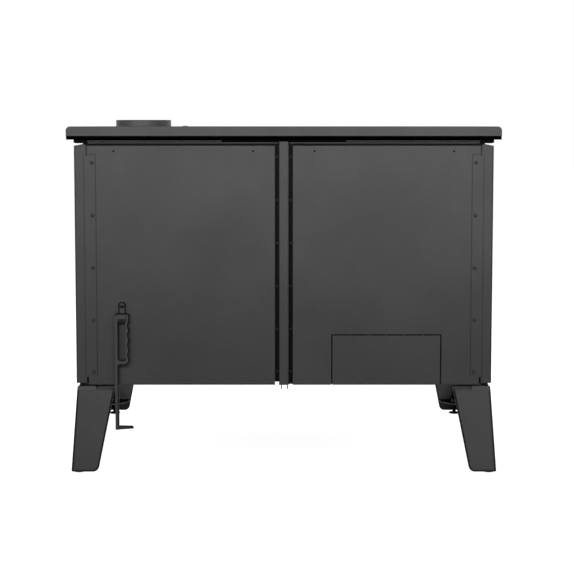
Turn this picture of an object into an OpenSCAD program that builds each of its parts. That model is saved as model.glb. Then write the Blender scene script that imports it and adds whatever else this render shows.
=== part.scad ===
// Wood cook stove on four splayed legs: a firebox on the left, an oven on the right,
// a thick cooktop over both, and screwed heat shields at the back.
// Axes: +X to the right seen from the front, +Y to the back, +Z up. The origin is on the
// floor, in the middle of the outline.

/* [Cooktop] */
// Height of the cooktop's upper face above the floor
cooktop_z = 914; // [900:1:930]
// How far the cooktop stands past each side panel
side_overhang = 15.8; // [10:0.1:20]
// Thickness of the cooktop plate
cooktop_t = 25; // [20:1:28]
// Radius along the upper edge at the front and the two sides
cooktop_edge_r = 11; // [6:1:16]
// Plan radius of the two front corners
cooktop_corner_r = 14; // [8:1:20]
// How far the cooktop stands past the front plate
front_overhang = 40; // [34:1:44]
// How far the cooktop stands past the rear shields
rear_overhang = 21; // [16:1:30]
// Diameter of the lift-out lid over the fire
lid_d = 222; // [200:2:240]
// Thickness of the lid
lid_t = 12; // [8:1:14]
// Width of the ledge that the lid lies on
lid_ledge = 9; // [6:1:12]
// Height of the dark rim under the cooktop
rim_h = 9.3; // [6:0.1:12]
// Width of the dark rim's ring
rim_w = 44; // [30:1:50]
// How far the rim is set in at the back
rim_rear_inset = 1; // [0.5:0.5:20]

/* [Body] */
// Width of the body across its side panels
body_w = 1097; // [1087:1:1105]
// Depth of the body from the front plate to the rear shields
body_d = 648; // [630:1:670]
// Height of the side panels' lower edge above the floor
base_z = 237; // [225:1:250]
// Gap between the side panels' upper edge and the frame under the cooktop
vent_gap = 6.2; // [4:0.1:10]
// Thickness of the sheet-metal panels
sheet_t = 2; // [1.5:0.1:2.5]
// Thickness of the front plate and of the firebox plate
plate_t = 5; // [4:0.5:6]
// Thickness of the pan, the back plate, the oven and its casing
case_t = 3; // [2:0.5:4]
// Air gap between each side panel and the inner shells
side_gap = 48.5; // [42:0.5:54]
// Half the width of the column between the firebox and the oven
column_half = 40; // [38:1:44]
// Air gap between the rear shields and the back plate
shield_gap = 26; // [24:1:32]

/* [Rear shields] */
// How far the shields reach below the side panels
shield_drop = 4.8; // [2:0.1:8]
// Half the open slot between the two shields
shield_slot_half = 23.3; // [20:0.1:26]
// Width of the screwed strip at each shield's outer edge
strip_w = 31.6; // [28:0.1:36]
// How far the strip is pressed back
strip_step = 1.5; // [1:0.1:1.8]
// Width of the side panel's flange that shows beside the strip
corner_w = 26.2; // [22:0.1:30]
// Number of screws down each strip
strip_screws = 5; // [3:1:7]
// Width of the channel down the middle
channel_w = 26; // [22:0.5:30]
// Width of the knock-out for an outside-air duct
knockout_w = 289; // [260:1:300]
// Height of the knock-out
knockout_h = 134.7; // [120:1:140]
// Width of the laser-cut slit round the knock-out
slit_w = 2; // [1.5:0.1:3]
// Number of uncut bridges across the knock-out's upper slit
bridges = 5; // [3:1:6]

/* [Legs] */
// Thickness of the leg plates
leg_t = 5; // [4:0.5:6]
// Width of a leg's plate at the floor
leg_foot_w = 70; // [64:0.5:78]
// Width of a leg's plate under the body
leg_top_w = 100.3; // [90:0.1:104]
// How much narrower the front legs are across the front
front_leg_trim = 9; // [0:0.5:12]
// Outward lean to the side, in millimetres per millimetre of height
lean_x = 0.069; // [0.05:0.001:0.08]
// Outward lean to the front or back
lean_y = 0.066; // [0.05:0.001:0.075]
// Radius of a leg's lower inner corner
leg_corner_r = 16; // [8:1:20]
// Gap between the leg plates' lower edge and the floor
leg_lift = 4; // [3:0.5:6]
// Diameter of a levelling foot's pad
pad_d = 33; // [26:1:36]
// Diameter of a levelling foot's stem
stem_d = 10; // [8:1:12]

/* [Firebox] */
// Height of the firebox floor plate above the body's lower edge
hearth_h = 155; // [150:1:160]
// Thickness of the firebricks
brick_t = 32; // [28:1:36]
// Width of the grate
grate_w = 180; // [150:1:200]
// Length of the grate
grate_l = 300; // [250:1:320]
// Distance of the grate from the front plate's face
grate_set = 150; // [120:1:170]
// Free height between the wall bricks and the air tubes
brick_head = 73; // [60:1:100]
// Outer diameter of the air tubes under the baffle
tube_d = 25; // [20:1:28]
// Thickness of the baffle boards
baffle_t = 25; // [20:1:28]

/* [Oven] */
// Distance from the oven box to the casing's outer face beside it
oven_side_way = 48; // [44:1:70]
// Depth of the smoke way behind the oven
oven_back_way = 71; // [60:1:80]
// Height of the smoke way over the oven
oven_top_way = 85; // [75:1:90]
// Travel of an oven rack while the door is shut
rack_travel = 25; // [15:1:30]

/* [Doors] */
// Thickness of the doors
door_t = 24; // [20:1:26]
// Squeezed thickness of the rope gasket
gasket_t = 5.5; // [4:0.5:6]
// Half the gap between the two doors
door_gap_half = 6; // [4:1:8]
// Height of the doors' lower edge above the body's lower edge
door_rise = 158; // [156:1:162]
// Height of the band between the doors and the side panels' upper edge
band_h = 78.8; // [72:0.1:90]
// Width of the doors' frames round the glass
door_bar = 62; // [56:1:70]
// Thickness of the glass
glass_t = 4; // [3:0.5:5]
// Length of the latch levers
lever_l = 112; // [90:1:125]
// How far the levers stand out from the front plate
front_reach = 60; // [57:1:66]

/* [Flue and rake] */
// Outer diameter of the flue collar
collar_d = 150; // [140:1:160]
// Wall of the flue collar
collar_wall = 3; // [2.5:0.5:5]
// Height of the collar above the cooktop
collar_h = 17.3; // [12:0.1:30]
// Distance of the collar's centre from the right-hand side panel's face
collar_side = 162.7; // [155:0.1:175]
// Distance of the collar's centre in front of the rear shields
collar_back = 173; // [150:1:190]
// Length of the soot rake
rake_l = 310.2; // [290:0.1:320]
// Thickness of the soot rake
rake_t = 4; // [3:0.5:5]

/* [Hidden] */
$fn = 64;
// Small free gap between pieces that move past each other
gap = 0.3;
// Radial play of a pin or shaft in its hole
play = 0.1;
eps = 1;

half_w = body_w / 2;
cooktop_w = body_w + 2 * side_overhang;
overall_d = body_d + rear_overhang + front_reach;
rear_y = overall_d / 2 - rear_overhang;
front_y = rear_y - body_d;

deck_z = cooktop_z - cooktop_t;
rim_z = deck_z - rim_h;
top_gasket_t = 1.5;
lip_t = 3;
lip_gap = 2.2;
frame_top_z = rim_z - top_gasket_t;
frame_z = frame_top_z - 2 * lip_t - lip_gap;
side_top_z = frame_z - vent_gap;
pan_top_z = base_z + case_t;

cook_front = front_y - front_overhang;
cook_rear = rear_y + rear_overhang;

// Inner shells
shell_out = half_w - side_gap;
shell_y0 = front_y + plate_t;
back_y1 = rear_y - sheet_t - shield_gap;
back_y0 = back_y1 - case_t;
hearth_z = base_z + hearth_h;
fire_x = -(shell_out + column_half) / 2;

// The two doors mirror each other: the firebox door is on the left, the oven door on the right
door_z0 = base_z + door_rise;
door_z1 = side_top_z - band_h;
door_back = front_y - gasket_t - gap;
door_front = door_back - door_t;
door_out = shell_out;
door_mid_z = (door_z0 + door_z1) / 2;
hinge_r = 7;
hinge_x = door_out + hinge_r + 1;
hinge_y = door_back - door_t / 2;
hinge_pin_r = 4;
hinge_h = 22;
hinge_zs = [door_z0 + 45, door_z1 - 45];
rope_w = 12;
rope_inset = 12;
glass_lap = 9;
retainer_t = 3;
latch_x = 20;
latch_r = 6;
finger_half = 16;
finger_w = 12;
finger_t = 8;

// The ash drawer's front and the soot flap under the doors
lower_z0 = base_z + 13;
lower_z1 = door_z0 - 8;
lower_t = 12;
flap_r = lower_t / 2;
flap_y = front_y - gap - flap_r;
flap_z = lower_z1 - flap_r;
lug_w = 5.5;
knob_l = 30;

// Oven and smoke ways
oven_x0 = column_half + 12;
oven_x1 = shell_out - oven_side_way;
oven_z0 = door_z0 + 5;
oven_z1 = frame_z - oven_top_way;
oven_h = oven_z1 - oven_z0;
oven_y1 = back_y0 - oven_back_way;
casing_z = base_z + 53;
collar_x = half_w - collar_side;
collar_y = rear_y - collar_back;
way_y = collar_y - collar_d / 2 - 13;
port_half = 55;
port_z = [oven_z1 + 15, frame_z - 15];
duct_set = 60;
duct_l = 280;
duct_y = [front_y + duct_set, front_y + duct_set + duct_l];
duct_z = [oven_z1 + 12, frame_z - 7];

// The openings in the front plate, as ranges of X and Z
brick_in = plate_t + brick_t + 8;
fire_mouth = [[-shell_out + brick_in, -column_half - brick_in], [hearth_z + 40, door_z1 - 38]];
oven_mouth = [[oven_x0 + 8, oven_x1 - 8], [door_z0 + 26, door_z1 - 26]];
ash_mouth = [[-shell_out + 45, -column_half - 35], [lower_z0 + 10, lower_z1 - 10]];
soot_mouth = [[oven_x0 + 20, oven_x1 - 4], [casing_z + 8, lower_z1 - 16]];

// Rods in the band over the doors
rod_side = 130;
rod_x = shell_out - rod_side;
rod_z = (door_z1 + side_top_z) / 2 + 2;
rod_r = 5;
rod_knob_l = 36;

// Fire
brick_gap = 1;
grate_x = [fire_x - grate_w / 2, fire_x + grate_w / 2];
grate_y = [front_y + grate_set, front_y + grate_set + grate_l];
grate_t = 18;
wall_brick_z = hearth_z + plate_t + brick_t;
baffle_z = door_z1 - 30;
baffle_set = 160;
tube_z = baffle_z - tube_d / 2;
baffle_front = front_y + baffle_set;
brick_row_h = baffle_z - tube_d - brick_head - wall_brick_z;

// Outside air comes in behind the knock-out
inlet_z = base_z + 66;
inlet_r = 60;
inlet_box_w = 150;
inlet_box_d = 85;
inlet_head = 20;
inlet_back = rear_y - 4;

// Rear shields
seam_x = half_w - corner_w;
fold_x = seam_x - strip_w;
strip_screw_x = seam_x - 21;
shield_z0 = base_z - shield_drop;
shield_z1 = side_top_z + 1;
slot_screw_x = (channel_w / 2 + shield_slot_half) / 2;
top_screw_xs = [80.3, fold_x - 46.6];
top_screw_z = side_top_z - 14.4;

// Rake and hook, as they hang on the right-hand shield
hook_side = 65.3;
hook_x = fold_x - hook_side;
hook_w = 19.2;
hook_rise = 216.5;
hook_top = base_z + hook_rise;
hook_t = 3;
peg_r = 4;
peg_rise = 169;
peg_z = base_z + peg_rise;
rake_y = rear_y + hook_t + 1;
lip_y = rake_y + rake_t + 1.2;
rake_over = 16.8;
rake_top = peg_z + rake_over;

// Shared shapes

// A box between two corners, given as ranges
module block(x, y, z) {
  translate([x[0], y[0], z[0]]) cube([x[1] - x[0], y[1] - y[0], z[1] - z[0]]);
}

// A rectangle with round corners, given as ranges
module round_rect(x, y, r) {
  translate([x[0] + r, y[0]]) square([x[1] - x[0] - 2 * r, y[1] - y[0]]);
  translate([x[0], y[0] + r]) square([x[1] - x[0], y[1] - y[0] - 2 * r]);
  for (cx = [x[0] + r, x[1] - r], cy = [y[0] + r, y[1] - r])
    translate([cx, cy]) circle(r);
}

// A flat outline with its two upper corners rounded
module crown(x, z, r) {
  translate([x[0], z[0]]) square([x[1] - x[0], z[1] - z[0] - r]);
  translate([x[0] + r, z[0]]) square([x[1] - x[0] - 2 * r, z[1] - z[0]]);
  for (cx = [x[0] + r, x[1] - r]) translate([cx, z[1] - r]) circle(r);
}

// Stands a flat outline, drawn as X and Z, upright between two depths
module upright(y) {
  translate([0, y[1], 0]) rotate([90, 0, 0]) linear_extrude(y[1] - y[0]) children();
}

// Stands a flat outline, drawn as Y and Z, upright between two places across the stove
module sideways(x) {
  translate([x[0], 0, 0]) rotate([90, 0, 90]) linear_extrude(x[1] - x[0]) children();
}

// An upright plate with round corners
module panel(x, y, z, r) {
  upright(y) round_rect(x, z, r);
}

// Round bars along the three axes
module bar_x(x, y, z, r) {
  translate([x[0], y, z]) rotate([0, 90, 0]) cylinder(h = x[1] - x[0], r = r);
}
module bar_y(x, y, z, r) {
  translate([x, y[0], z]) rotate([-90, 0, 0]) cylinder(h = y[1] - y[0], r = r);
}
module bar_z(x, y, z, r) {
  translate([x, y, z[0]]) cylinder(h = z[1] - z[0], r = r);
}

// Puts a right-hand piece on the side given by 1 or -1
module on_side(side) {
  if (side > 0) children();
  else mirror([1, 0, 0]) children();
}

// A frame of plate standing upright: an outline with a window cut through it
module upright_ring(x, y, z, w, r) {
  difference() {
    panel(x, y, z, r);
    panel([x[0] + w, x[1] - w], [y[0] - eps, y[1] + eps], [z[0] + w, z[1] - w], max(r - w, 1));
  }
}

// Cooktop and the frame under it

lid_y = (front_y + back_y0) / 2 - 20;
bolt_side = 116.6;
bolt_back = 150;
bolt_x = collar_x - bolt_side;
bolt_y = rear_y - bolt_back;
bolt_head_r = 7;
bolt_sink = 1;

module cooktop() {
  r = cooktop_edge_r;
  c = cooktop_corner_r;
  w = cooktop_w / 2;
  color("dimgray") difference() {
    intersection() {
      upright([cook_front, cook_rear]) crown([-w, w], [deck_z, cooktop_z], r);
      sideways([-w, w]) crown([cook_front, cook_rear + 2 * r], [deck_z, cooktop_z], r);
      translate([0, 0, deck_z]) linear_extrude(cooktop_t)
        round_rect([-w, w], [cook_front, cook_rear + 2 * c], c);
    }
    bar_z(collar_x, collar_y, [deck_z - eps, cooktop_z + eps], collar_d / 2 + gap);
    bar_z(fire_x, lid_y, [cooktop_z - lid_t - gap, cooktop_z + eps], lid_d / 2 + 0.5);
    bar_z(fire_x, lid_y, [deck_z - eps, cooktop_z], lid_d / 2 - lid_ledge);
    bar_z(bolt_x, bolt_y, [deck_z - eps, cooktop_z + eps], 4 + play);
    bar_z(bolt_x, bolt_y, [cooktop_z - bolt_sink, cooktop_z + eps], bolt_head_r + gap);
  }
}

module hob_lid() {
  groove_r = lid_d / 2 - 19;
  color("dimgray") difference() {
    bar_z(fire_x, lid_y, [cooktop_z - lid_t, cooktop_z], lid_d / 2);
    // Shallow pocket for a lid lifter, and a ring groove
    translate([fire_x, lid_y - lid_d / 2 + 42, cooktop_z - 4]) linear_extrude(4 + eps)
      round_rect([-7, 7], [-16, 16], 6);
    difference() {
      bar_z(fire_x, lid_y, [cooktop_z - 1, cooktop_z + eps], groove_r + 1);
      bar_z(fire_x, lid_y, [cooktop_z - 1 - eps, cooktop_z + 2 * eps], groove_r - 1);
    }
  }
}

module cooktop_bolt() {
  color("dimgray") {
    bar_z(bolt_x, bolt_y, [deck_z - 4, cooktop_z], 4);
    bar_z(bolt_x, bolt_y, [cooktop_z - bolt_sink, cooktop_z + 1.3], bolt_head_r);
    bar_z(bolt_x, bolt_y, [deck_z - 6, deck_z], bolt_head_r);
  }
}

module cooktop_rim() {
  x = cooktop_w / 2 - 0.5;
  y = [cook_front + 0.5, cook_rear - rim_rear_inset];
  r = cooktop_corner_r - 0.5;
  color("black") difference() {
    translate([0, 0, rim_z]) linear_extrude(rim_h) round_rect([-x, x], [y[0], y[1] + 2 * r], r);
    block([-x - eps, x + eps], [y[1], y[1] + 2 * r + eps], [rim_z - eps, deck_z + eps]);
    block([-x + rim_w, x - rim_w], [y[0] + rim_w + 14, y[1] - rim_w - 12], [rim_z - eps, deck_z + eps]);
  }
}

// Flat rope between the frame and the rim
module cooktop_gasket() {
  w = 12;
  x = half_w - 3;
  y = [front_y + 4, rear_y - 32];
  color("lightgray") difference() {
    block([-x, x], y, [frame_top_z, rim_z]);
    block([-x + w, x - w], [y[0] + w, y[1] - w], [frame_top_z - eps, rim_z + eps]);
  }
}

// Two thin lips round a web, which carry the cooktop on the inner shells
module top_frame() {
  upper = half_w;
  lower = half_w - 4;
  web = half_w - 7;
  inner = shell_out - plate_t - 8;
  notch = 163;
  channel = channel_w / 2 + 2;
  color("dimgray") difference() {
    union() {
      block([-upper, upper], [front_y + 1, rear_y - 2], [frame_top_z - lip_t, frame_top_z]);
      block([-lower, lower], [front_y + 3, rear_y - 6], [frame_z, frame_z + lip_t]);
      block([-web, web], [front_y + 10, rear_y - 20], [frame_z, frame_top_z]);
    }
    for (x = [[column_half - 8, inner], [-inner, 8 - column_half]])
      block(x, [front_y + 20, back_y0 - 6], [frame_z - eps, frame_top_z + eps]);
    // Behind the middle the upper lip is cut back, and the channel passes through
    block([-notch, notch], [rear_y - 17, rear_y], [frame_top_z - lip_t - eps, frame_top_z + eps]);
    block([-channel, channel], [back_y1 - 1, rear_y], [frame_z - eps, frame_top_z + eps]);
  }
}

module flue_collar() {
  r = collar_d / 2;
  z = [deck_z - 14, cooktop_z + collar_h];
  color("dimgray") difference() {
    union() {
      bar_z(collar_x, collar_y, z, r);
      bar_z(collar_x, collar_y, [deck_z - 5, deck_z], r + 8);
    }
    bar_z(collar_x, collar_y, [z[0] - eps, z[1] + eps], r - collar_wall);
  }
}

// Body panels

// Puts a rear right-hand piece at any of the four corners, given by 1 or -1 each way
module at_corner(sx, sy) {
  if (sy > 0) on_side(sx) children();
  else on_side(sx) translate([0, front_y + rear_y, 0]) mirror([0, 1, 0]) children();
}

// Where the two bolts of a leg stand, at the rear right-hand corner
leg_bolts_xy = [[half_w - 64, back_y0 - 28], [half_w - 28, back_y0 - 40]];
leg_bolt_r = 4;

module base_pan() {
  x = half_w - sheet_t;
  color("dimgray") difference() {
    block([-x, x], [shell_y0, back_y0], [base_z, pan_top_z]);
    for (sx = [-1, 1], sy = [-1, 1], b = leg_bolts_xy)
      at_corner(sx, sy) bar_z(b[0], b[1], [base_z - eps, pan_top_z + eps], leg_bolt_r + play);
  }
}

// Plan of a side panel, with flanges bent in at the front and the back
module side_panel_plan() {
  r = 3.5;
  flange_x = fold_x - 4;
  back = rear_y - sheet_t - strip_step;
  difference() {
    round_rect([flange_x - 20, half_w], [front_y, back], r);
    round_rect([flange_x - 40, half_w - sheet_t], [front_y + sheet_t, back - sheet_t], r - sheet_t);
    translate([flange_x - 60, front_y - eps]) square([60, body_d + 2 * eps]);
    translate([flange_x - 60, front_y - eps]) square([seam_x - 2 - flange_x + 60, sheet_t + 10]);
  }
}

module side_panel(side) {
  back = rear_y - 6;
  color("dimgray") on_side(side) difference() {
    translate([0, 0, base_z]) linear_extrude(frame_z - base_z) side_panel_plan();
    block([fold_x - 20, half_w + eps], [front_y - eps, back], [side_top_z, frame_z + eps]);
    // The rear flange's upper edge rises to a low peak at the seam
    upright([back - eps, rear_y]) polygon([[half_w + eps, side_top_z - 0.5], [half_w + eps, frame_z + eps],
      [fold_x - 20, frame_z + eps], [fold_x - 20, side_top_z + 1.2], [seam_x - 6.5, side_top_z + 1.2],
      [seam_x, side_top_z + 5], [seam_x + 2, side_top_z + 4.5]]);
    // The flange is cut away behind the shield's lower and upper corner
    block([fold_x - 20, seam_x - 2.7], [back - eps, rear_y], [base_z - eps, shield_z0 + 20]);
    block([fold_x - 20, seam_x - 6.5], [back - eps, rear_y], [side_top_z - corner_drop, frame_z + eps]);
    for (i = [0 : strip_screws - 1])
      bar_y(strip_screw_x, [rear_y - 8, rear_y], strip_screw_z(i), 2 + play);
  }
}
module side_panel_left() { side_panel(-1); }
module side_panel_right() { side_panel(1); }

module back_plate() {
  w = half_w - 20;
  between_legs = half_w - leg_top_w - 16;
  y = [back_y0, back_y1];
  color("dimgray") difference() {
    union() {
      block([-w, w], y, [base_z, frame_z]);
      block([-between_legs, between_legs], y, [base_z - 1.8, frame_z]);
      block([-between_legs, -channel_w / 2], y, [base_z - 8, frame_z]);
    }
    bar_y(fire_x, [y[0] - eps, y[1] + eps], inlet_z, inlet_r + play);
    for (i = [0 : 5], s = [-1, 1])
      bar_y(s * slot_screw_x, [y[0] - eps, y[1] + eps], slot_screw_z(i), 2 + play);
  }
}

module front_plate() {
  x = seam_x - 2;
  y = [front_y - eps, shell_y0 + eps];
  slot_x = finger_w / 2 + 3;
  slot_z = finger_half + 3;
  color("dimgray") difference() {
    block([-x, x], [front_y, shell_y0], [base_z, frame_z]);
    for (m = [fire_mouth, oven_mouth, ash_mouth, soot_mouth]) panel(m[0], y, m[1], 10);
    for (s = [-1, 1]) {
      block([s * latch_x - slot_x, s * latch_x + slot_x], y, [door_mid_z - slot_z, door_mid_z + slot_z]);
      bar_y(s * rod_x, y, rod_z, rod_r + play);
    }
  }
}

// Rear shields

function strip_screw_z(i) = base_z + 30 + i * (side_top_z - base_z - 74.3) / max(strip_screws - 1, 1);
function slot_screw_z(i) = base_z + 26.6 + i * (side_top_z - base_z - 55.8) / 5;

// The slit round the knock-out, left uncut at its bridges
module knockout_slit() {
  x0 = fire_x - knockout_w / 2;
  x1 = fire_x + knockout_w / 2;
  z1 = shield_z0 + knockout_h;
  bridge = 2.4;
  pitch = knockout_w / (bridges + 1);
  y = [rear_y - sheet_t - eps, rear_y + eps];
  through = [rear_y - shield_flange - eps, rear_y + eps];
  for (i = [0 : bridges]) {
    from = x0 + i * pitch + (i == 0 ? 0 : bridge / 2);
    to = x0 + (i + 1) * pitch - (i == bridges ? 0 : bridge / 2);
    block([from, to], y, [z1 - slit_w, z1]);
  }
  for (x = [x0, x1 - slit_w]) {
    block([x, x + slit_w], through, [shield_z0 - eps, shield_z0 + 12]);
    block([x, x + slit_w], y, [shield_z0 + 12 + bridge, z1 - 28]);
    block([x, x + slit_w], y, [z1 - 28 + bridge, z1 - slit_w / 2]);
  }
}

// Section of a shield: its face with the upper and the lower edge bent in
bend_r = 3;
shield_flange = 8;
corner_drop = 25.5;
module shield_section() {
  back = rear_y - shield_flange;
  difference() {
    round_rect([back - bend_r, rear_y], [shield_z0, shield_z1], bend_r);
    round_rect([back - 2 * bend_r, rear_y - sheet_t], [shield_z0 + sheet_t, shield_z1 - sheet_t],
      bend_r - sheet_t);
    translate([back - 2 * bend_r, shield_z0 - eps]) square([2 * bend_r, shield_z1 - shield_z0 + 2 * eps]);
  }
}

// The sheet with a pressed-back strip at its outer edge, and its inner edge bent forwards
module rear_shield_shape() {
  face = [rear_y - sheet_t, rear_y];
  strip = [face[0] - strip_step, face[1] - strip_step];
  notch_z = [shield_z0 + 20, side_top_z - corner_drop];
  step_z = [shield_z0 + 24, side_top_z - 22.7];
  inner = shield_slot_half;
  difference() {
    union() {
      sideways([inner, fold_x + eps]) shield_section();
      intersection() {
        sideways([fold_x, seam_x - 7]) shield_section();
        block([fold_x, seam_x], [rear_y - 2 * shield_flange, rear_y], [shield_z0, step_z[0]]);
      }
      intersection() {
        sideways([fold_x, seam_x - 8]) shield_section();
        block([fold_x, seam_x], [rear_y - 2 * shield_flange, rear_y], [step_z[1], shield_z1]);
      }
      block([fold_x, seam_x], strip, notch_z);
      block([fold_x, seam_x - 8], strip, [notch_z[0], step_z[1] + eps]);
      block([inner, inner + sheet_t], [back_y1, face[1]], [shield_z0 + 6, shield_z1]);
    }
    for (i = [0 : strip_screws - 1])
      bar_y(strip_screw_x, [rear_y - 8, rear_y + eps], strip_screw_z(i), 2 + play);
    for (x = top_screw_xs) bar_y(x, [rear_y - 8, rear_y + eps], top_screw_z, 1.5 + play);
  }
}
module rear_shield_right() { color("dimgray") rear_shield_shape(); }
module rear_shield_left() {
  color("dimgray") difference() {
    mirror([1, 0, 0]) rear_shield_shape();
    knockout_slit();
  }
}

module rear_channel() {
  w = channel_w / 2;
  z = [shield_z0, frame_z + 4.7];
  color("dimgray") difference() {
    translate([0, 0, z[0]]) linear_extrude(z[1] - z[0]) round_rect([-w, w], [back_y1 - 20, rear_y - 1], 3.5);
    translate([0, 0, z[0] - eps]) linear_extrude(z[1] - z[0] + 2 * eps)
      round_rect([-w + sheet_t, w - sheet_t], [back_y1 - 30, rear_y - 1 - sheet_t], 1.5);
    block([-w - eps, w + eps], [back_y1 - 40, back_y1], [z[0] - eps, z[1] + eps]);
  }
}

stud_r = 1.3;
stud_xs = [-9.5, 6.6, -42.7, -26.6];
stud_y = rear_y - 17;
bracket_z = shield_z0 + sheet_t + 0.5;

// Small tabs at the foot of the channel, with the studs that hang in them
module rear_bracket() {
  w = channel_w / 2 - sheet_t;
  y = [back_y1, rear_y - 6];
  z = [bracket_z, bracket_z + case_t];
  color("gray") {
    difference() {
      union() {
        block([-w, w], y, z);
        block([-60, -channel_w / 2], y, z);
      }
      for (x = stud_xs) bar_z(x, stud_y, [z[0] - eps, z[1] + eps], stud_r);
    }
    for (i = [0 : len(stud_xs) - 1])
      bar_z(stud_xs[i], stud_y, [shield_z0 - (i < 2 ? 14.5 : 1.6), z[1] + 1], stud_r);
  }
}

// A screw that points to the front, with a low coned head on the face at face_y
module rear_screw(x, face_y, z, shank_r, head_r, head_h, depth) {
  translate([x, face_y - depth, z]) rotate([-90, 0, 0]) cylinder(h = depth + head_h / 2, r = shank_r);
  translate([x, face_y, z]) rotate([-90, 0, 0]) cylinder(h = head_h / 2, r = head_r);
  translate([x, face_y + head_h / 2, z]) rotate([-90, 0, 0])
    cylinder(h = head_h / 2, r1 = head_r, r2 = head_r * 0.6);
}

module shield_screws() {
  color("gray") for (s = [-1, 1]) {
    for (i = [0 : strip_screws - 1])
      rear_screw(s * strip_screw_x, rear_y - strip_step, strip_screw_z(i), 2, 4.2, 2.2, 7);
    for (x = top_screw_xs) rear_screw(s * x, rear_y, top_screw_z, 1.5, 2.2, 1, 5);
    for (i = [0 : 5]) rear_screw(s * slot_screw_x, back_y1, slot_screw_z(i), 2, 3.6, 2, 7);
  }
}

// Legs and levelling feet

leg_flange_t = 5;
leg_h = base_z - leg_flange_t;
gusset_z = 34;
gusset_t = 4;
gusset_r = 58;
leg_reach = 140;
foot_in_x = 18.5;
foot_in_y = 24;
pad_rim_t = 1.5;
pad_h = 5;
// The leg plates end below the body; a tongue of each is bent in under the top flange
plate_top_z = base_z - 15.5;
tongue_z = base_z - 11;
tongue_in = 9;
shelf_d = 45;
tongue_from = 50.3;
tongue_to = 4.1;

// Where a leg's outer faces stand at a height, to the side and to the back
function leg_x(z) = half_w - 3.3 + lean_x * (leg_h - z);
function leg_y(z) = rear_y - 0.5 + lean_y * (leg_h - z);
foot_x = leg_x(leg_lift) - foot_in_x;
foot_y = leg_y(leg_lift) - foot_in_y;

// Points along an arc from one angle to another
function arc(x, z, r, from, to) = [for (i = [0 : 8]) let (a = from + (to - from) * i / 8)
  [x + r * cos(a), z + r * sin(a)]];

// Outline of one face of a leg, from where its outer edge stands at the foot and at the top
module leg_outline(out_low, out_top, w_low, w_top) {
  in_low = out_low - w_low;
  in_top = out_top - w_top;
  tilt = atan((in_low - in_top) / (leg_h - leg_lift));
  r = leg_corner_r;
  part = (plate_top_z - leg_lift) / (leg_h - leg_lift);
  polygon(concat([[out_low - 3, leg_lift], [out_low, leg_lift + 3],
      [out_low + (out_top - out_low) * part, plate_top_z], [in_low + (in_top - in_low) * part, plate_top_z]],
    arc(in_low - r * tan(tilt) + r / cos(tilt), leg_lift + r, r, 180 + tilt, 270)));
  translate([out_top - tongue_from, plate_top_z - eps])
    square([tongue_from - tongue_to, leg_h - plate_top_z + 2 * eps]);
}

// Section of a leg's plate, leaning as its outer face does and bent in at its top
module leg_skin(out_low, out_top) {
  out = out_low + (out_top - out_low) * (tongue_z - leg_lift) / (leg_h - leg_lift);
  bent = out - tongue_in;
  polygon([[out_low - leg_t, leg_lift], [out_low, leg_lift], [out, tongue_z], [bent, leg_h],
    [bent, leg_h + eps], [bent - leg_t, leg_h + eps], [bent - leg_t, leg_h], [out - leg_t, tongue_z]]);
}

// The rear right-hand leg: two leaning plates bent from one, a top flange, a stiffening shelf
// and a web under it, and a gusset for the foot
module leg_shape(trim) {
  x = [leg_x(leg_lift), leg_x(leg_h)];
  y = [leg_y(leg_lift), leg_y(leg_h)];
  w = [leg_foot_w - trim, leg_top_w - trim];
  across = [half_w - leg_reach, half_w + leg_reach];
  along = [rear_y - leg_reach, rear_y + leg_reach];
  mid = [leg_x(gusset_z) - leg_t, leg_y(gusset_z) - leg_t];
  nut_h = 8;
  color("dimgray") difference() {
    union() {
      intersection() {
        upright(along) leg_outline(x[0], x[1], w[0], w[1]);
        sideways(across) leg_skin(y[0], y[1]);
      }
      intersection() {
        sideways(across) leg_outline(y[0], y[1], w[0], w[1]);
        upright(along) leg_skin(x[0], x[1]);
      }
      block([x[1] - w[1] + 8, x[1] - 5], [y[1] - w[1] + 8, y[1] - tongue_in - 0.5], [leg_h, base_z]);
      block([x[1] - w[1] + 8, x[1] - 1], [y[1] - shelf_d, y[1] - 1], [plate_top_z - leg_t, plate_top_z]);
      block([x[1] - w[1] + 8, x[1] - 5], [y[1] - shelf_d, y[1] - shelf_d + leg_t], [plate_top_z - eps, base_z]);
      intersection() {
        bar_z(mid[0], mid[1], [gusset_z, gusset_z + gusset_t], gusset_r);
        block([mid[0] - gusset_r, mid[0] + eps], [mid[1] - gusset_r, mid[1] + eps],
          [gusset_z, gusset_z + gusset_t]);
      }
      translate([foot_x, foot_y, gusset_z + gusset_t]) cylinder(h = nut_h, r = stem_d / 2 + 4.5, $fn = 6);
    }
    bar_z(foot_x, foot_y, [gusset_z - eps, gusset_z + gusset_t + nut_h + eps], stem_d / 2 + play);
    for (b = leg_bolts_xy) bar_z(b[0], b[1], [leg_h - eps, base_z + eps], leg_bolt_r + play);
  }
}
module leg_rear_right() { at_corner(1, 1) leg_shape(0); }
module leg_rear_left() { at_corner(-1, 1) leg_shape(0); }
module leg_front_right() { at_corner(1, -1) leg_shape(front_leg_trim); }
module leg_front_left() { at_corner(-1, -1) leg_shape(front_leg_trim); }

module leveler_shape() {
  color("gray") {
    bar_z(foot_x, foot_y, [0, pad_rim_t], pad_d / 2);
    translate([foot_x, foot_y, pad_rim_t])
      cylinder(h = pad_h - pad_rim_t, r1 = pad_d / 2 - 0.5, r2 = stem_d / 2 + 0.5);
    bar_z(foot_x, foot_y, [pad_h - eps, gusset_z + gusset_t + 30], stem_d / 2);
  }
}
module leveler_rear_right() { at_corner(1, 1) leveler_shape(); }
module leveler_rear_left() { at_corner(-1, 1) leveler_shape(); }
module leveler_front_right() { at_corner(1, -1) leveler_shape(); }
module leveler_front_left() { at_corner(-1, -1) leveler_shape(); }

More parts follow.
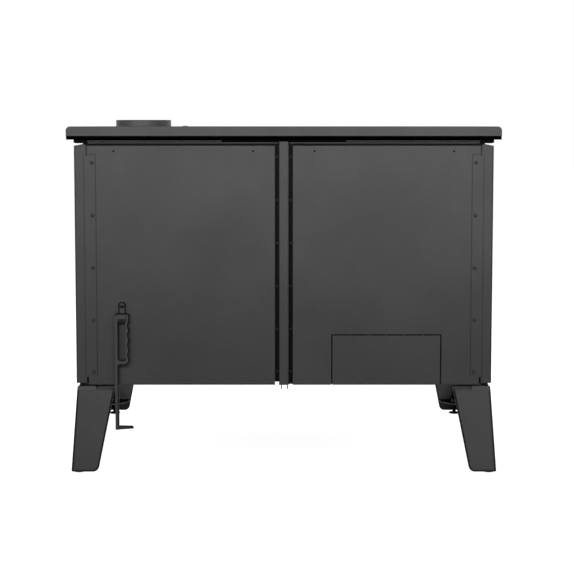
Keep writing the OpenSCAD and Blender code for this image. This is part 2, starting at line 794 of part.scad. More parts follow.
module leg_bolts() {
  color("gray") for (sx = [-1, 1], sy = [-1, 1], b = leg_bolts_xy) at_corner(sx, sy) {
    bar_z(b[0], b[1], [leg_h - eps, pan_top_z + 8], leg_bolt_r);
    translate([b[0], b[1], leg_h - 5]) cylinder(h = 5, r = 7, $fn = 6);
    translate([b[0], b[1], pan_top_z]) cylinder(h = 6, r = 6.5, $fn = 6);
  }
}

// Firebox

module firebox_shell() {
  x = [-shell_out, -column_half];
  inner_x = [x[0] + plate_t, x[1] - plate_t];
  color("dimgray") difference() {
    block(x, [shell_y0, back_y0], [pan_top_z, frame_z]);
    block(inner_x, [shell_y0 - eps, back_y0 - plate_t], [hearth_z + plate_t, frame_z + eps]);
    block(inner_x, [shell_y0 - eps, back_y0 + eps], [pan_top_z - eps, hearth_z]);
    // Ash falls through the hearth, and smoke leaves at the upper right
    block([grate_x[0] + 10, grate_x[1] - 10], [grate_y[0] + 10, grate_y[1] - 10],
      [hearth_z - eps, hearth_z + plate_t + eps]);
    block([x[1] - 2 * plate_t, x[1] + eps], duct_y, duct_z);
  }
}

// A wall or floor of bricks: one row of n each way, with thin joints
module brick_field(x, y, z, nx, ny) {
  w = (x[1] - x[0] - (nx - 1) * brick_gap) / nx;
  d = (y[1] - y[0] - (ny - 1) * brick_gap) / ny;
  color("wheat") for (i = [0 : nx - 1], j = [0 : ny - 1])
    translate([x[0] + i * (w + brick_gap), y[0] + j * (d + brick_gap), z[0]])
      cube([w, d, z[1] - z[0]]);
}

fire_in_x = [-shell_out + plate_t, -column_half - plate_t];
fire_in_y = [shell_y0, back_y0 - plate_t];

module floor_bricks() {
  z = [hearth_z + plate_t, wall_brick_z];
  beside = [[fire_in_x[0], grate_x[0] - 1], [grate_x[1] + 1, fire_in_x[1]]];
  for (x = beside) brick_field(x, fire_in_y, z, 1, 5);
  brick_field(grate_x, [fire_in_y[0], grate_y[0] - 1], z, 1, 1);
  brick_field(grate_x, [grate_y[1] + 1, fire_in_y[1]], z, 1, 1);
}

module wall_bricks() {
  z = [wall_brick_z, wall_brick_z + brick_row_h];
  side_y = [fire_in_y[0] + 1, fire_in_y[1]];
  brick_field([fire_in_x[0], fire_in_x[0] + brick_t], side_y, z, 1, 5);
  brick_field([fire_in_x[1] - brick_t, fire_in_x[1]], side_y, z, 1, 5);
  brick_field([fire_in_x[0] + brick_t + 1, fire_in_x[1] - brick_t - 1],
    [fire_in_y[1] - brick_t, fire_in_y[1]], z, 3, 1);
}

module fire_grate() {
  z = [hearth_z + plate_t, hearth_z + plate_t + grate_t];
  rim = 14;
  bars = 12;
  pitch = (grate_y[1] - grate_y[0] - 2 * rim) / bars;
  color("dimgray") difference() {
    block(grate_x, grate_y, z);
    for (i = [0 : bars - 1])
      block([grate_x[0] + rim, grate_x[1] - rim],
        [grate_y[0] + rim + i * pitch + pitch * 0.25, grate_y[0] + rim + i * pitch + pitch * 0.75],
        [z[0] - eps, z[1] + eps]);
  }
}

// Tubes that let air in over the fire, with jet holes towards the door
tube_ys = [for (i = [0 : 3]) baffle_front + 20 + i * (back_y0 - plate_t - 40 - baffle_front) / 3];
module air_tubes() {
  r = tube_d / 2;
  color("silver") for (y = tube_ys) difference() {
    bar_x(fire_in_x, y, tube_z, r);
    bar_x([fire_in_x[0] - eps, fire_in_x[1] + eps], y, tube_z, r - 2);
    for (i = [-3 : 3]) bar_y(fire_x + i * 55, [y - r - eps, y - r + 4], tube_z, 3);
  }
}

module baffle_boards() {
  half = (fire_in_x[1] - fire_in_x[0]) / 2;
  halves = [[fire_in_x[0], fire_in_x[0] + half - 0.5], [fire_in_x[1] - half + 0.5, fire_in_x[1]]];
  color("wheat") for (x = halves)
    block(x, [baffle_front, fire_in_y[1]], [baffle_z, baffle_z + baffle_t]);
}

// Box and collar that take in outside air behind the knock-out
module air_inlet_box() {
  x = [fire_x - inlet_box_w / 2, fire_x + inlet_box_w / 2];
  y = [back_y0 - inlet_box_d, back_y0];
  z = [pan_top_z, hearth_z - inlet_head];
  t = case_t;
  color("dimgray") difference() {
    union() {
      difference() {
        block(x, y, z);
        block([x[0] + t, x[1] - t], [y[0] - eps, y[1] - t], [z[0] + t, z[1] - t]);
      }
      bar_y(fire_x, [y[1] - t, inlet_back], inlet_z, inlet_r);
    }
    bar_y(fire_x, [y[1] - 2 * t, inlet_back + eps], inlet_z, inlet_r - 2);
  }
}

drawer_x = [ash_mouth[0][0] + 3, ash_mouth[0][1] - 3];
drawer_room = 120;
drawer_y1 = back_y0 - drawer_room;
drawer_z = [ash_mouth[1][0] + 3, ash_mouth[1][1] - 3];
runner_w = 25;
module drawer_runners() {
  y = [shell_y0 + 5, drawer_y1 + 10];
  z = [pan_top_z, drawer_z[0] - gap];
  color("gray") for (s = [-1, 1]) {
    x = fire_x + s * (drawer_x[1] - drawer_x[0]) / 2;
    block([min(x, x - s * 3), max(x, x - s * 3)], y, z);
    block([min(x - s * 3, x - s * runner_w), max(x - s * 3, x - s * runner_w)], y, [z[1] - 3, z[1]]);
  }
}

// A turned knob that points to the front, its root at y
module front_knob(x, y, z, r, l) {
  translate([x, y, z]) rotate([90, 0, 0]) rotate_extrude() difference() {
    union() {
      square([r * 0.45, l - 4]);
      translate([0, l - 14]) square([r - 4, 14]);
      translate([0, l - 10]) square([r, 6]);
      translate([r - 4, l - 10]) circle(4, $fn = 32);
      translate([r - 4, l - 4]) circle(4, $fn = 32);
    }
    translate([-r, -eps]) square([r, l + 2 * eps]);
  }
}

module ash_drawer() {
  t = 2;
  front = [front_y - gap - lower_t, front_y - gap];
  color("dimgray") {
    panel([-shell_out + 6, -door_gap_half - 6], front, [lower_z0, lower_z1], 4);
    difference() {
      block(drawer_x, [front[1] - eps, drawer_y1], drawer_z);
      block([drawer_x[0] + t, drawer_x[1] - t], [front[1] + 5, drawer_y1 - t],
        [drawer_z[0] + t, drawer_z[1] + eps]);
    }
    front_knob(fire_x, front[0] + eps / 2, (lower_z0 + lower_z1) / 2, 14, knob_l);
  }
}

// Oven

// Inner casing of the smoke ways round the oven, standing on the pan
module oven_casing() {
  t = case_t;
  x = [column_half, shell_out];
  color("dimgray") difference() {
    block(x, [shell_y0, back_y0], [pan_top_z, frame_z]);
    block([x[0] + t, x[1] - t], [shell_y0 - eps, back_y0 - t], [casing_z + t, frame_z + eps]);
    block([x[0] + t, x[1] - t], [shell_y0 - eps, back_y0 + eps], [pan_top_z - eps, casing_z]);
    block([x[0] - eps, x[0] + 2 * t], duct_y, duct_z);
  }
}

rack_zs = [oven_z0 + oven_h * 2 / 7, oven_z0 + oven_h * 5 / 8];
rail_w = 12;
rail_t = 5;
rack_t = 6;
module oven_box() {
  t = case_t;
  x = [oven_x0, oven_x1];
  color("dimgray") {
    difference() {
      block(x, [shell_y0, oven_y1], [oven_z0, oven_z1]);
      block([x[0] + t, x[1] - t], [shell_y0 - eps, oven_y1 - t], [oven_z0 + t, oven_z1 - t]);
    }
    for (z = rack_zs, r = [[x[0] + t - 0.5, x[0] + t + rail_w], [x[1] - t - rail_w, x[1] - t + 0.5]])
      block(r, [shell_y0 + 6, oven_y1 - 10], [z - gap - rail_t, z - gap]);
  }
}

// Upright plate that sends the smoke down past the oven, with the bypass port
module flue_partition() {
  x = [column_half + case_t, shell_out - case_t];
  color("dimgray") upright([way_y, way_y + case_t]) difference() {
    union() {
      translate([x[0], oven_z1]) square([x[1] - x[0], frame_z - oven_z1]);
      translate([oven_x1, casing_z + 90]) square([x[1] - oven_x1, frame_z - casing_z - 90]);
    }
    translate([rod_x - port_half, port_z[0]]) square([2 * port_half, port_z[1] - port_z[0]]);
  }
}

// Duct that carries the smoke from the firebox to the oven
module smoke_duct() {
  t = case_t;
  color("dimgray") difference() {
    block([-column_half, column_half], [duct_y[0] - t, duct_y[1] + t], [duct_z[0] - t, duct_z[1] + t]);
    block([-column_half - eps, column_half + eps], duct_y, duct_z);
  }
}

module oven_rack(z) {
  x = [oven_x0 + case_t + 2, oven_x1 - case_t - 2];
  y = [shell_y0 + 10 + rack_travel, oven_y1 - 14];
  bar = 6;
  wires = 8;
  pitch = (x[1] - x[0] - bar) / (wires + 1);
  color("silver") {
    difference() {
      block(x, y, [z, z + rack_t]);
      block([x[0] + bar, x[1] - bar], [y[0] + bar, y[1] - bar], [z - eps, z + rack_t + eps]);
    }
    for (i = [1 : wires])
      bar_y(x[0] + bar / 2 + i * pitch, [y[0] + bar / 2, y[1] - bar / 2], z + rack_t / 2, 2);
  }
}
module oven_rack_upper() { oven_rack(rack_zs[1]); }
module oven_rack_lower() { oven_rack(rack_zs[0]); }

// Clean-out flap under the oven, hung on its upper edge
module soot_flap() {
  x = [door_gap_half + 6, shell_out - 6];
  color("dimgray") {
    block(x, [flap_y - flap_r, flap_y + flap_r], [lower_z0, flap_z]);
    bar_x(x, flap_y, flap_z, flap_r);
    bar_x([x[0] - lug_w, x[1] + lug_w], flap_y, flap_z, 3);
    front_knob((x[0] + x[1]) / 2, flap_y - flap_r + eps / 2, (lower_z0 + lower_z1) / 2, 14, knob_l);
  }
}

// Doors

// Lugs that carry the soot flap and the lower halves of the door hinges, on the front plate
module hinge_brackets() {
  flap_x = [door_gap_half + 6, shell_out - 6];
  color("dimgray") {
    for (x = [[flap_x[0] - lug_w - 0.5, flap_x[0] - 0.5], [flap_x[1] + 0.5, flap_x[1] + lug_w + 0.5]])
      difference() {
        block(x, [flap_y - flap_r - 1, front_y], [flap_z - 8, flap_z + 6]);
        bar_x([x[0] - eps, x[1] + eps], flap_y, flap_z, 3 + play);
      }
    for (s = [-1, 1], z = hinge_zs) on_side(s) difference() {
      union() {
        bar_z(hinge_x, hinge_y, [z - hinge_h, z], hinge_r);
        block([hinge_x - hinge_r, hinge_x + hinge_r], [hinge_y, front_y], [z - hinge_h, z]);
      }
      bar_z(hinge_x, hinge_y, [z - hinge_h - eps, z + eps], hinge_pin_r);
    }
  }
}

module hinge_pins() {
  color("silver") for (s = [-1, 1], z = hinge_zs) on_side(s)
    bar_z(hinge_x, hinge_y, [z - hinge_h, z + hinge_h - 4], hinge_pin_r);
}

window_x = [door_gap_half + door_bar, door_out - door_bar];
window_z = [door_z0 + door_bar, door_z1 - door_bar];
rebate = glass_t + retainer_t;

// The oven's door; the firebox door is its mirror image
module door_frame() {
  x = [door_gap_half, door_out];
  y = [door_front, door_back];
  lap = glass_lap;
  color("dimgray") difference() {
    union() {
      panel(x, y, [door_z0, door_z1], 10);
      for (z = hinge_zs) {
        bar_z(hinge_x, hinge_y, [z + gap, z + hinge_h], hinge_r);
        block([door_out - eps, hinge_x], [hinge_y - hinge_r, hinge_y + hinge_r - 2], [z + gap, z + hinge_h]);
      }
    }
    panel(window_x, [y[0] - eps, y[1] + eps], window_z, 12);
    block([window_x[0] - lap, window_x[1] + lap], [y[1] - rebate, y[1] + eps],
      [window_z[0] - lap, window_z[1] + lap]);
    for (z = hinge_zs) bar_z(hinge_x, hinge_y, [z, z + hinge_h + eps], hinge_pin_r + play);
    bar_y(latch_x, [y[0] - eps, y[1] + eps], door_mid_z, latch_r + play);
  }
}
module oven_door() { door_frame(); }
module firebox_door() { mirror([1, 0, 0]) door_frame(); }

module door_glass() {
  lap = glass_lap - gap;
  color([0.5, 0.5, 0.5, 0.4])
    block([window_x[0] - lap, window_x[1] + lap], [door_back - rebate, door_back - retainer_t],
      [window_z[0] - lap, window_z[1] + lap]);
}
module oven_glass() { door_glass(); }
module firebox_glass() { mirror([1, 0, 0]) door_glass(); }

// Strips that clamp the glass into the door
module glass_retainers() {
  lap = glass_lap - gap;
  x = [window_x[0] - lap, window_x[1] + lap];
  z = [window_z[0] - lap, window_z[1] + lap];
  y = [door_back - retainer_t, door_back];
  w = 14;
  color("gray") {
    for (zz = [[z[0], z[0] + w], [z[1] - w, z[1]]]) block(x, y, zz);
    for (xx = [[x[0], x[0] + w], [x[1] - w, x[1]]]) block(xx, y, [z[0] + w + gap, z[1] - w - gap]);
  }
}
module oven_retainers() { glass_retainers(); }
module firebox_retainers() { mirror([1, 0, 0]) glass_retainers(); }

module door_rope() {
  color("lightgray") upright_ring([column_half + 4, door_out - rope_inset], [door_back, door_back + gasket_t],
    [door_z0 + rope_inset, door_z1 - rope_inset], rope_w, 16);
}
module oven_gasket() { door_rope(); }
module firebox_gasket() { mirror([1, 0, 0]) door_rope(); }

// Latch with its shaft through the door, a finger behind the front plate and a lever that hangs down
grip_below = 24;
module latch_shape() {
  y = front_y - front_reach;
  grip_r = 10;
  lever_y = y + grip_r;
  color("gray") {
    bar_y(latch_x, [lever_y, shell_y0 + 1 + finger_t], door_mid_z, latch_r);
    bar_y(latch_x, [y + 1, lever_y + 9], door_mid_z, 11);
    bar_y(latch_x, [lever_y + 8, door_front - gap], door_mid_z, 9);
    block([latch_x - finger_w / 2, latch_x + finger_w / 2], [shell_y0 + 1, shell_y0 + 1 + finger_t],
      [door_mid_z - finger_half, door_mid_z + finger_half]);
    bar_z(latch_x, lever_y, [door_mid_z - lever_l + 2, door_mid_z], 5);
    translate([latch_x, lever_y, door_mid_z - lever_l])
      rotate_extrude() grip_profile(grip_r, lever_l - grip_below);
  }
}

// Half section of a turned grip, slimmer at its ends
module grip_profile(r, l) {
  polygon(concat([[0, 0], [r * 0.75, 0]],
    [for (i = [1 : 7]) [r * (0.75 + 0.25 * sin(i * 22.5)), l * i / 8]], [[r * 0.75, l], [0, l]]));
}
module oven_latch() { latch_shape(); }
module firebox_latch() { mirror([1, 0, 0]) latch_shape(); }

dial_x = (door_gap_half + door_out) / 2;
dial_z = door_z1 - door_bar / 2;
dial_r = 24;
module thermometer() {
  y = door_front - 10;
  color("silver") difference() {
    bar_y(dial_x, [y, door_front], dial_z, dial_r);
    bar_y(dial_x, [y - eps, y + 5], dial_z, dial_r - 2.5);
    bar_y(dial_x, [y - eps, door_front - 2], dial_z, 1.5 + play);
  }
}

module thermometer_needle() {
  y = door_front - 6.5;
  color("black") {
    bar_y(dial_x, [y, door_front - 2.5], dial_z, 1.5);
    bar_y(dial_x, [y, y + 1], dial_z, 3);
    upright([y, y + 1]) polygon([[dial_x + 1.1, dial_z - 1.1], [dial_x - 1.1, dial_z + 1.1],
      [dial_x - 12.9, dial_z - 12.5], [dial_x - 12.5, dial_z - 12.9]]);
  }
}

// Rods over the doors

air_plate_set = 60;
module air_control() {
  y = [front_y - rod_knob_l, shell_y0 + air_plate_set];
  color("gray") {
    bar_y(-rod_x, y, rod_z, rod_r);
    front_knob(-rod_x, y[0] + 16, rod_z, 11, 22);
    block([-rod_x - 25, -rod_x + 25], [y[1] - eps, y[1] + 4], [rod_z - 14, rod_z + 14]);
  }
}

module bypass_damper() {
  y = [front_y - rod_knob_l, way_y - gap];
  lap = 5;
  color("gray") {
    bar_y(rod_x, [y[0], y[1] - 2], rod_z, rod_r);
    front_knob(rod_x, y[0] + 16, rod_z, 11, 22);
    block([rod_x - port_half - lap, rod_x + port_half + lap], [y[1] - 4, y[1]],
      [port_z[0] - lap, port_z[1] + lap]);
  }
}

// Soot rake and its hook

module tool_hook() {
  x = [hook_x - hook_w / 2, hook_x + hook_w / 2];
  color("dimgray") {
    difference() {
      upright([rear_y, rear_y + hook_t]) crown(x, [peg_z - 6, hook_top], 7);
      block([x[0] + 5, x[1] - 5], [rear_y - eps, rear_y + hook_t + eps], [hook_top - 13.4, hook_top - 11.2]);
    }
    bar_y(hook_x, [rear_y + hook_t - eps, lip_y + eps], peg_z, peg_r);
    panel(x, [lip_y, lip_y + hook_t], [peg_z - peg_r, rake_top], 2);
  }
}

// Flat outline of the rake: a loop with finger waves, a straight shank and a short foot
module rake_outline() {
  loop_w = 39.5;
  loop_h = 138;
  hole_w = 16.5;
  hole_corner_r = 5;
  hole_z = peg_z + peg_r + gap - hole_w / 2;
  shank_w = 10.3;
  head_h = 30;
  wave_r = 13;
  wave_pitch = 26;
  wave = 4;
  right = hook_x + 19.3;
  left = right - loop_w;
  top = rake_top + 1.8;
  foot_z = top - rake_l;
  hole_x = hook_x - hole_w / 2;
  difference() {
    union() {
      round_rect([left + wave, right], [top - loop_h, top], 7);
      round_rect([left, right], [top - head_h, top], 7);
      for (i = [0 : 3]) translate([left + wave_r, top - 45.5 - i * wave_pitch]) circle(wave_r);
    }
    round_rect([hole_x, hole_x + hole_w], [top - loop_h + 13.5, hole_z + hole_corner_r], hole_corner_r);
    translate([hole_x + hole_w / 2, hole_z]) circle(hole_w / 2);
  }
  translate([right - shank_w, foot_z]) square([shank_w, rake_l - 20]);
  polygon([[right, foot_z], [right - shank_w - 1, foot_z + 11.3], [left - 7, foot_z + 10.4],
    [left - 8.7, foot_z + 3.4]]);
}

module soot_rake() { color("gray") upright([rake_y, rake_y + rake_t]) rake_outline(); }

cooktop();
cooktop_rim();
cooktop_gasket();
top_frame();
hob_lid();
flue_collar();
cooktop_bolt();
base_pan();
side_panel_left();
side_panel_right();
back_plate();
front_plate();
rear_shield_left();
rear_shield_right();
rear_channel();
rear_bracket();
shield_screws();
leg_front_left();
leg_front_right();
leg_rear_left();
leg_rear_right();
leg_bolts();
leveler_front_left();
leveler_front_right();
leveler_rear_left();
leveler_rear_right();
firebox_shell();
floor_bricks();
wall_bricks();
fire_grate();
air_tubes();
baffle_boards();
air_inlet_box();
drawer_runners();
ash_drawer();
oven_casing();
oven_box();
flue_partition();
smoke_duct();
oven_rack_upper();
oven_rack_lower();
soot_flap();
hinge_brackets();
hinge_pins();
firebox_door();
firebox_glass();
firebox_gasket();
firebox_retainers();
firebox_latch();
oven_door();
oven_glass();
oven_gasket();
oven_retainers();
oven_latch();
thermometer();
thermometer_needle();
air_control();
bypass_damper();
tool_hook();
soot_rake();
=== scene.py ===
# Wood cook stove, seen from behind as in the photograph. Metres, +Z up, doors towards -Y.
import math

import bmesh
import bpy
from mathutils import Matrix, Vector


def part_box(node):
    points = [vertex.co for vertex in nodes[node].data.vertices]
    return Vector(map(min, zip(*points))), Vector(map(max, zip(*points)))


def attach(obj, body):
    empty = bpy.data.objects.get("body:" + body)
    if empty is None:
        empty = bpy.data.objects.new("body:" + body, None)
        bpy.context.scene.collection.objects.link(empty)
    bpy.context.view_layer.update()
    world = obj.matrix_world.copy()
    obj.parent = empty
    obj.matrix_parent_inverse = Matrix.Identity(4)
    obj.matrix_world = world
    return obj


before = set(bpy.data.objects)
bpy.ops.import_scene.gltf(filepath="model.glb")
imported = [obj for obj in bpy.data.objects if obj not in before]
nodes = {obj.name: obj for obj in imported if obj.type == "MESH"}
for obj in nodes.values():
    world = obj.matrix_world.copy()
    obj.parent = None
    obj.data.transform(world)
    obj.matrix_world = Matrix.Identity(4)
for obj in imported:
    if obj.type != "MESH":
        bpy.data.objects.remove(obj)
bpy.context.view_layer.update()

MM = 0.001
SIDES = (-1, 1)
STILL = Matrix.Identity(4)

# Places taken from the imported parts
rear_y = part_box("rear_shield_right")[1].y
top_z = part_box("cooktop")[1].z


# Camera at the photograph's place

FRAME_PX = 574
SENSOR_MM = 36
FOCAL_PX = 1170.5
CAMERA_X = -8.2 * MM
CAMERA_BACK = 3053.1 * MM
CAMERA_Z = 915.7 * MM
PITCH_DEG = 3.8
SHIFT_Y = -0.1455
CLIP_END = 50


def make_camera():
    data = bpy.data.cameras.new("camera")
    data.sensor_width = SENSOR_MM
    data.lens = FOCAL_PX / FRAME_PX * SENSOR_MM
    data.shift_y = SHIFT_Y
    data.clip_end = CLIP_END
    camera = bpy.data.objects.new("camera", data)
    camera.location = (CAMERA_X, rear_y + CAMERA_BACK, CAMERA_Z)
    camera.rotation_euler = (math.radians(90 - PITCH_DEG), 0, math.radians(180))
    bpy.context.scene.collection.objects.link(camera)
    bpy.context.scene.camera = camera


make_camera()


# Shader nodes

def object_coords(tree):
    return tree.nodes.new("ShaderNodeTexCoord").outputs["Object"]


def world_place(tree):
    """Sockets X, Y and Z of the place on a part that stands still."""
    split = tree.nodes.new("ShaderNodeSeparateXYZ")
    place = tree.nodes.new("ShaderNodeNewGeometry").outputs["Position"]
    tree.links.new(place, split.inputs[0])
    return split.outputs


def noise(tree, scale, detail):
    node = tree.nodes.new("ShaderNodeTexNoise")
    node.inputs["Scale"].default_value = scale
    node.inputs["Detail"].default_value = detail
    node.inputs["Roughness"].default_value = 0.55
    tree.links.new(object_coords(tree), node.inputs["Vector"])
    return node.outputs["Fac"]


def ramp(tree, fac, stops):
    """A colour ramp through (place, grey or colour) stops."""
    node = tree.nodes.new("ShaderNodeValToRGB")
    while len(node.color_ramp.elements) < len(stops):
        node.color_ramp.elements.new(0.5)
    for element, (place, value) in zip(node.color_ramp.elements, stops):
        element.position = place
        element.color = (*value, 1) if isinstance(value, tuple) else (value, value, value, 1)
    tree.links.new(fac, node.inputs["Fac"])
    return node.outputs["Color"]


def blend_colors(tree, fac, first, second, kind="MIX"):
    node = tree.nodes.new("ShaderNodeMix")
    node.data_type = "RGBA"
    node.blend_type = kind
    for value, number in ((fac, 0), (first, 6), (second, 7)):
        socket = node.inputs[number]
        if isinstance(value, bpy.types.NodeSocket):
            tree.links.new(value, socket)
        elif isinstance(value, tuple):
            socket.default_value = (*value, 1)
        else:
            socket.default_value = value
    return node.outputs[2]


def bump(tree, height, distance, below=None):
    node = tree.nodes.new("ShaderNodeBump")
    node.inputs["Distance"].default_value = distance
    node.inputs["Strength"].default_value = 1.0
    tree.links.new(height, node.inputs["Height"])
    if below is not None:
        tree.links.new(below, node.inputs["Normal"])
    return node.outputs["Normal"]


def vector_math(tree, operation, *inputs):
    node = tree.nodes.new("ShaderNodeVectorMath")
    node.operation = operation
    for value, socket in zip(inputs, node.inputs):
        tree.links.new(value, socket)
    return node


def scalar_math(tree, operation, *inputs):
    node = tree.nodes.new("ShaderNodeMath")
    node.operation = operation
    for value, socket in zip(inputs, node.inputs):
        if isinstance(value, bpy.types.NodeSocket):
            tree.links.new(value, socket)
        else:
            socket.default_value = value
    return node.outputs[0]


def product(tree, first, second):
    return scalar_math(tree, "MULTIPLY", first, second)


def larger(tree, first, second):
    return scalar_math(tree, "MAXIMUM", first, second)


def magnitude(tree, value):
    return scalar_math(tree, "ABSOLUTE", value)


def difference(tree, first, second):
    return scalar_math(tree, "SUBTRACT", first, second)


def between(tree, value, low, high):
    """1 where a value lies between two limits."""
    above = scalar_math(tree, "GREATER_THAN", value, low)
    below = scalar_math(tree, "LESS_THAN", value, high)
    return product(tree, above, below)


def seen_ray(tree):
    """1 for camera, glossy and transmission rays, 0 for the rays that light the object."""
    path = tree.nodes.new("ShaderNodeLightPath")
    seen = path.outputs["Is Camera Ray"]
    for kind in ("Is Glossy Ray", "Is Transmission Ray"):
        seen = larger(tree, seen, path.outputs[kind])
    return seen


# Light: a white world that the camera, gloss and glass see, and large soft lamps

FILL_STRENGTH = 0.18
# Name, place, target, size and power of each lamp
LAMPS = (
    ("lamp_back_low", (0, 1.07, 1.02), (0, rear_y, 0.95), (4.0, 0.15), 16.4),
    ("lamp_front_high", (0, -1.9, 2.15), (0, -0.34, 0.7), (3.4, 0.8), 66),
    ("lamp_left", (-2.3, -0.8, 1.7), (-0.5, 0, 0.6), (1.6, 1.6), 50),
    ("lamp_right", (2.3, -0.8, 1.7), (0.5, 0, 0.6), (1.6, 1.6), 50),
    ("lamp_top", (0, 0, 3.0), (0, 0, 0.9), (2.0, 1.4), 4),
)


def make_world():
    world = bpy.data.worlds.new("world")
    bpy.context.scene.world = world
    world.use_nodes = True
    tree = world.node_tree
    tree.nodes.clear()
    out = tree.nodes.new("ShaderNodeOutputWorld")
    mix = tree.nodes.new("ShaderNodeMixShader")
    fill = tree.nodes.new("ShaderNodeBackground")
    seen = tree.nodes.new("ShaderNodeBackground")
    fill.inputs["Strength"].default_value = FILL_STRENGTH
    seen.inputs["Strength"].default_value = 1.0
    seen.inputs["Color"].default_value = (1, 1, 1, 1)
    tree.links.new(seen_ray(tree), mix.inputs[0])
    tree.links.new(fill.outputs[0], mix.inputs[1])
    tree.links.new(seen.outputs[0], mix.inputs[2])
    tree.links.new(mix.outputs[0], out.inputs[0])


def area_lamp(name, place, target, size, power):
    data = bpy.data.lights.new(name, "AREA")
    data.shape = "RECTANGLE"
    data.size, data.size_y = size
    data.energy = power
    lamp = bpy.data.objects.new(name, data)
    lamp.location = place
    lamp.rotation_euler = (Vector(target) - Vector(place)).to_track_quat("-Z", "Y").to_euler()
    lamp.visible_glossy = False
    lamp.visible_camera = False
    bpy.context.scene.collection.objects.link(lamp)


make_world()
for lamp_settings in LAMPS:
    area_lamp(*lamp_settings)

bpy.context.scene.view_settings.view_transform = "Standard"


# Materials

def new_material(name):
    material = bpy.data.materials.new(name)
    material.use_nodes = True
    return material, material.node_tree, material.node_tree.nodes["Principled BSDF"]


def shade(color, factor):
    """A colour made darker or lighter, at most white."""
    return tuple(min(1, c * factor) for c in color)


EDGE_LEAN = (0.02, 0.07)
BEVEL_SAMPLES = 8


def edge_lean(tree, radius):
    """How far a rounded edge leans off its face: its parts along X, Y and Z."""
    flat = tree.nodes.new("ShaderNodeNewGeometry").outputs["True Normal"]
    bevel = tree.nodes.new("ShaderNodeBevel")
    bevel.samples = BEVEL_SAMPLES
    bevel.inputs["Radius"].default_value = radius
    rounded = bevel.outputs["Normal"]
    along = vector_math(tree, "DOT_PRODUCT", rounded, flat).outputs["Value"]
    part = vector_math(tree, "SCALE", flat)
    tree.links.new(along, part.inputs["Scale"])
    lean = vector_math(tree, "SUBTRACT", rounded, part.outputs[0]).outputs[0]
    split = tree.nodes.new("ShaderNodeSeparateXYZ")
    tree.links.new(lean, split.inputs[0])
    return split.outputs


def edge_shade_mask(tree, radius, up, left):
    """Where painted shade lies: 1 along edges that lean sideways or down, 0 on flat faces.

    up is the share of painted shade on the upper edges, left that on the edges towards +X.
    """
    lean = edge_lean(tree, radius)
    most = product(tree, lean["X"], left)
    for part in (product(tree, lean["X"], -1.0), magnitude(tree, lean["Y"]),
                 product(tree, lean["Z"], -1.0), product(tree, lean["Z"], up)):
        most = larger(tree, most, part)
    none, full = EDGE_LEAN
    return ramp(tree, most, [(none, 0.0), (full, 1.0)])


def bend_shade_mask(tree, start, end):
    """Where painted shade lies on bends: 0 on faces square to the back and the sides, 1 on bends
    that face between the two.
    """
    split = tree.nodes.new("ShaderNodeSeparateXYZ")
    normal = tree.nodes.new("ShaderNodeNewGeometry").outputs["Normal"]
    tree.links.new(normal, split.inputs[0])
    both = product(tree, split.outputs["X"], split.outputs["Y"])
    return ramp(tree, magnitude(tree, both), [(start, 0.0), (end, 1.0)])


def painted(name, color, rough, peel_scale=900, peel=0.00006, specular=0.14, edge_shade=0.75,
            edge_r=2.2 * MM, up=0.0, left=1.0, bend_shade=0.0, bend_stops=(0.08, 0.3), shade_level=0.12):
    """Sprayed paint: a fine peel and cloudy colour, with painted shade darkening its edges and
    bends.

    The edge and bend shares say how much painted shade lies on edges and on bends, the shade level
    how dark that painted shade is against the paint.
    """
    material, tree, shader = new_material(name)
    cloudy = ramp(tree, noise(tree, 5, 5), [(0.3, shade(color, 0.9)), (0.7, shade(color, 1.1))])
    speck = ramp(tree, noise(tree, peel_scale * 0.7, 2), [(0.35, 0.93), (0.65, 1.07)])
    base = blend_colors(tree, 1.0, cloudy, speck, "MULTIPLY")
    # Painted shade: the paint darkened along its edges and bends
    shaded = shade(color, shade_level)
    edge = blend_colors(tree, edge_shade, (0, 0, 0), edge_shade_mask(tree, edge_r, up, left))
    base = blend_colors(tree, edge, base, shaded)
    if bend_shade:
        away = blend_colors(tree, bend_shade, (0, 0, 0), bend_shade_mask(tree, *bend_stops))
        base = blend_colors(tree, away, base, shaded)
    tree.links.new(base, shader.inputs["Base Color"])
    uneven = ramp(tree, noise(tree, 14, 4), [(0.3, rough - 0.05), (0.7, rough + 0.05)])
    tree.links.new(uneven, shader.inputs["Roughness"])
    shader.inputs["Specular IOR Level"].default_value = specular
    tree.links.new(bump(tree, noise(tree, peel_scale, 3), peel), shader.inputs["Normal"])
    return material


def bare_metal(name, color, rough, stretch=(1, 1, 40), scale=60):
    """Bare metal with drawn streaks."""
    material, tree, shader = new_material(name)
    mapping = tree.nodes.new("ShaderNodeMapping")
    mapping.inputs["Scale"].default_value = stretch
    tree.links.new(object_coords(tree), mapping.inputs["Vector"])
    streak = tree.nodes.new("ShaderNodeTexNoise")
    streak.inputs["Scale"].default_value = scale
    streak.inputs["Detail"].default_value = 3
    tree.links.new(mapping.outputs[0], streak.inputs["Vector"])
    fac = streak.outputs["Fac"]
    tint = ramp(tree, fac, [(0.3, shade(color, 0.85)), (0.7, color)])
    tree.links.new(tint, shader.inputs["Base Color"])
    uneven = ramp(tree, fac, [(0.3, rough), (0.7, rough + 0.12)])
    tree.links.new(uneven, shader.inputs["Roughness"])
    shader.inputs["Metallic"].default_value = 1.0
    tree.links.new(bump(tree, fac, 0.00003), shader.inputs["Normal"])
    return material


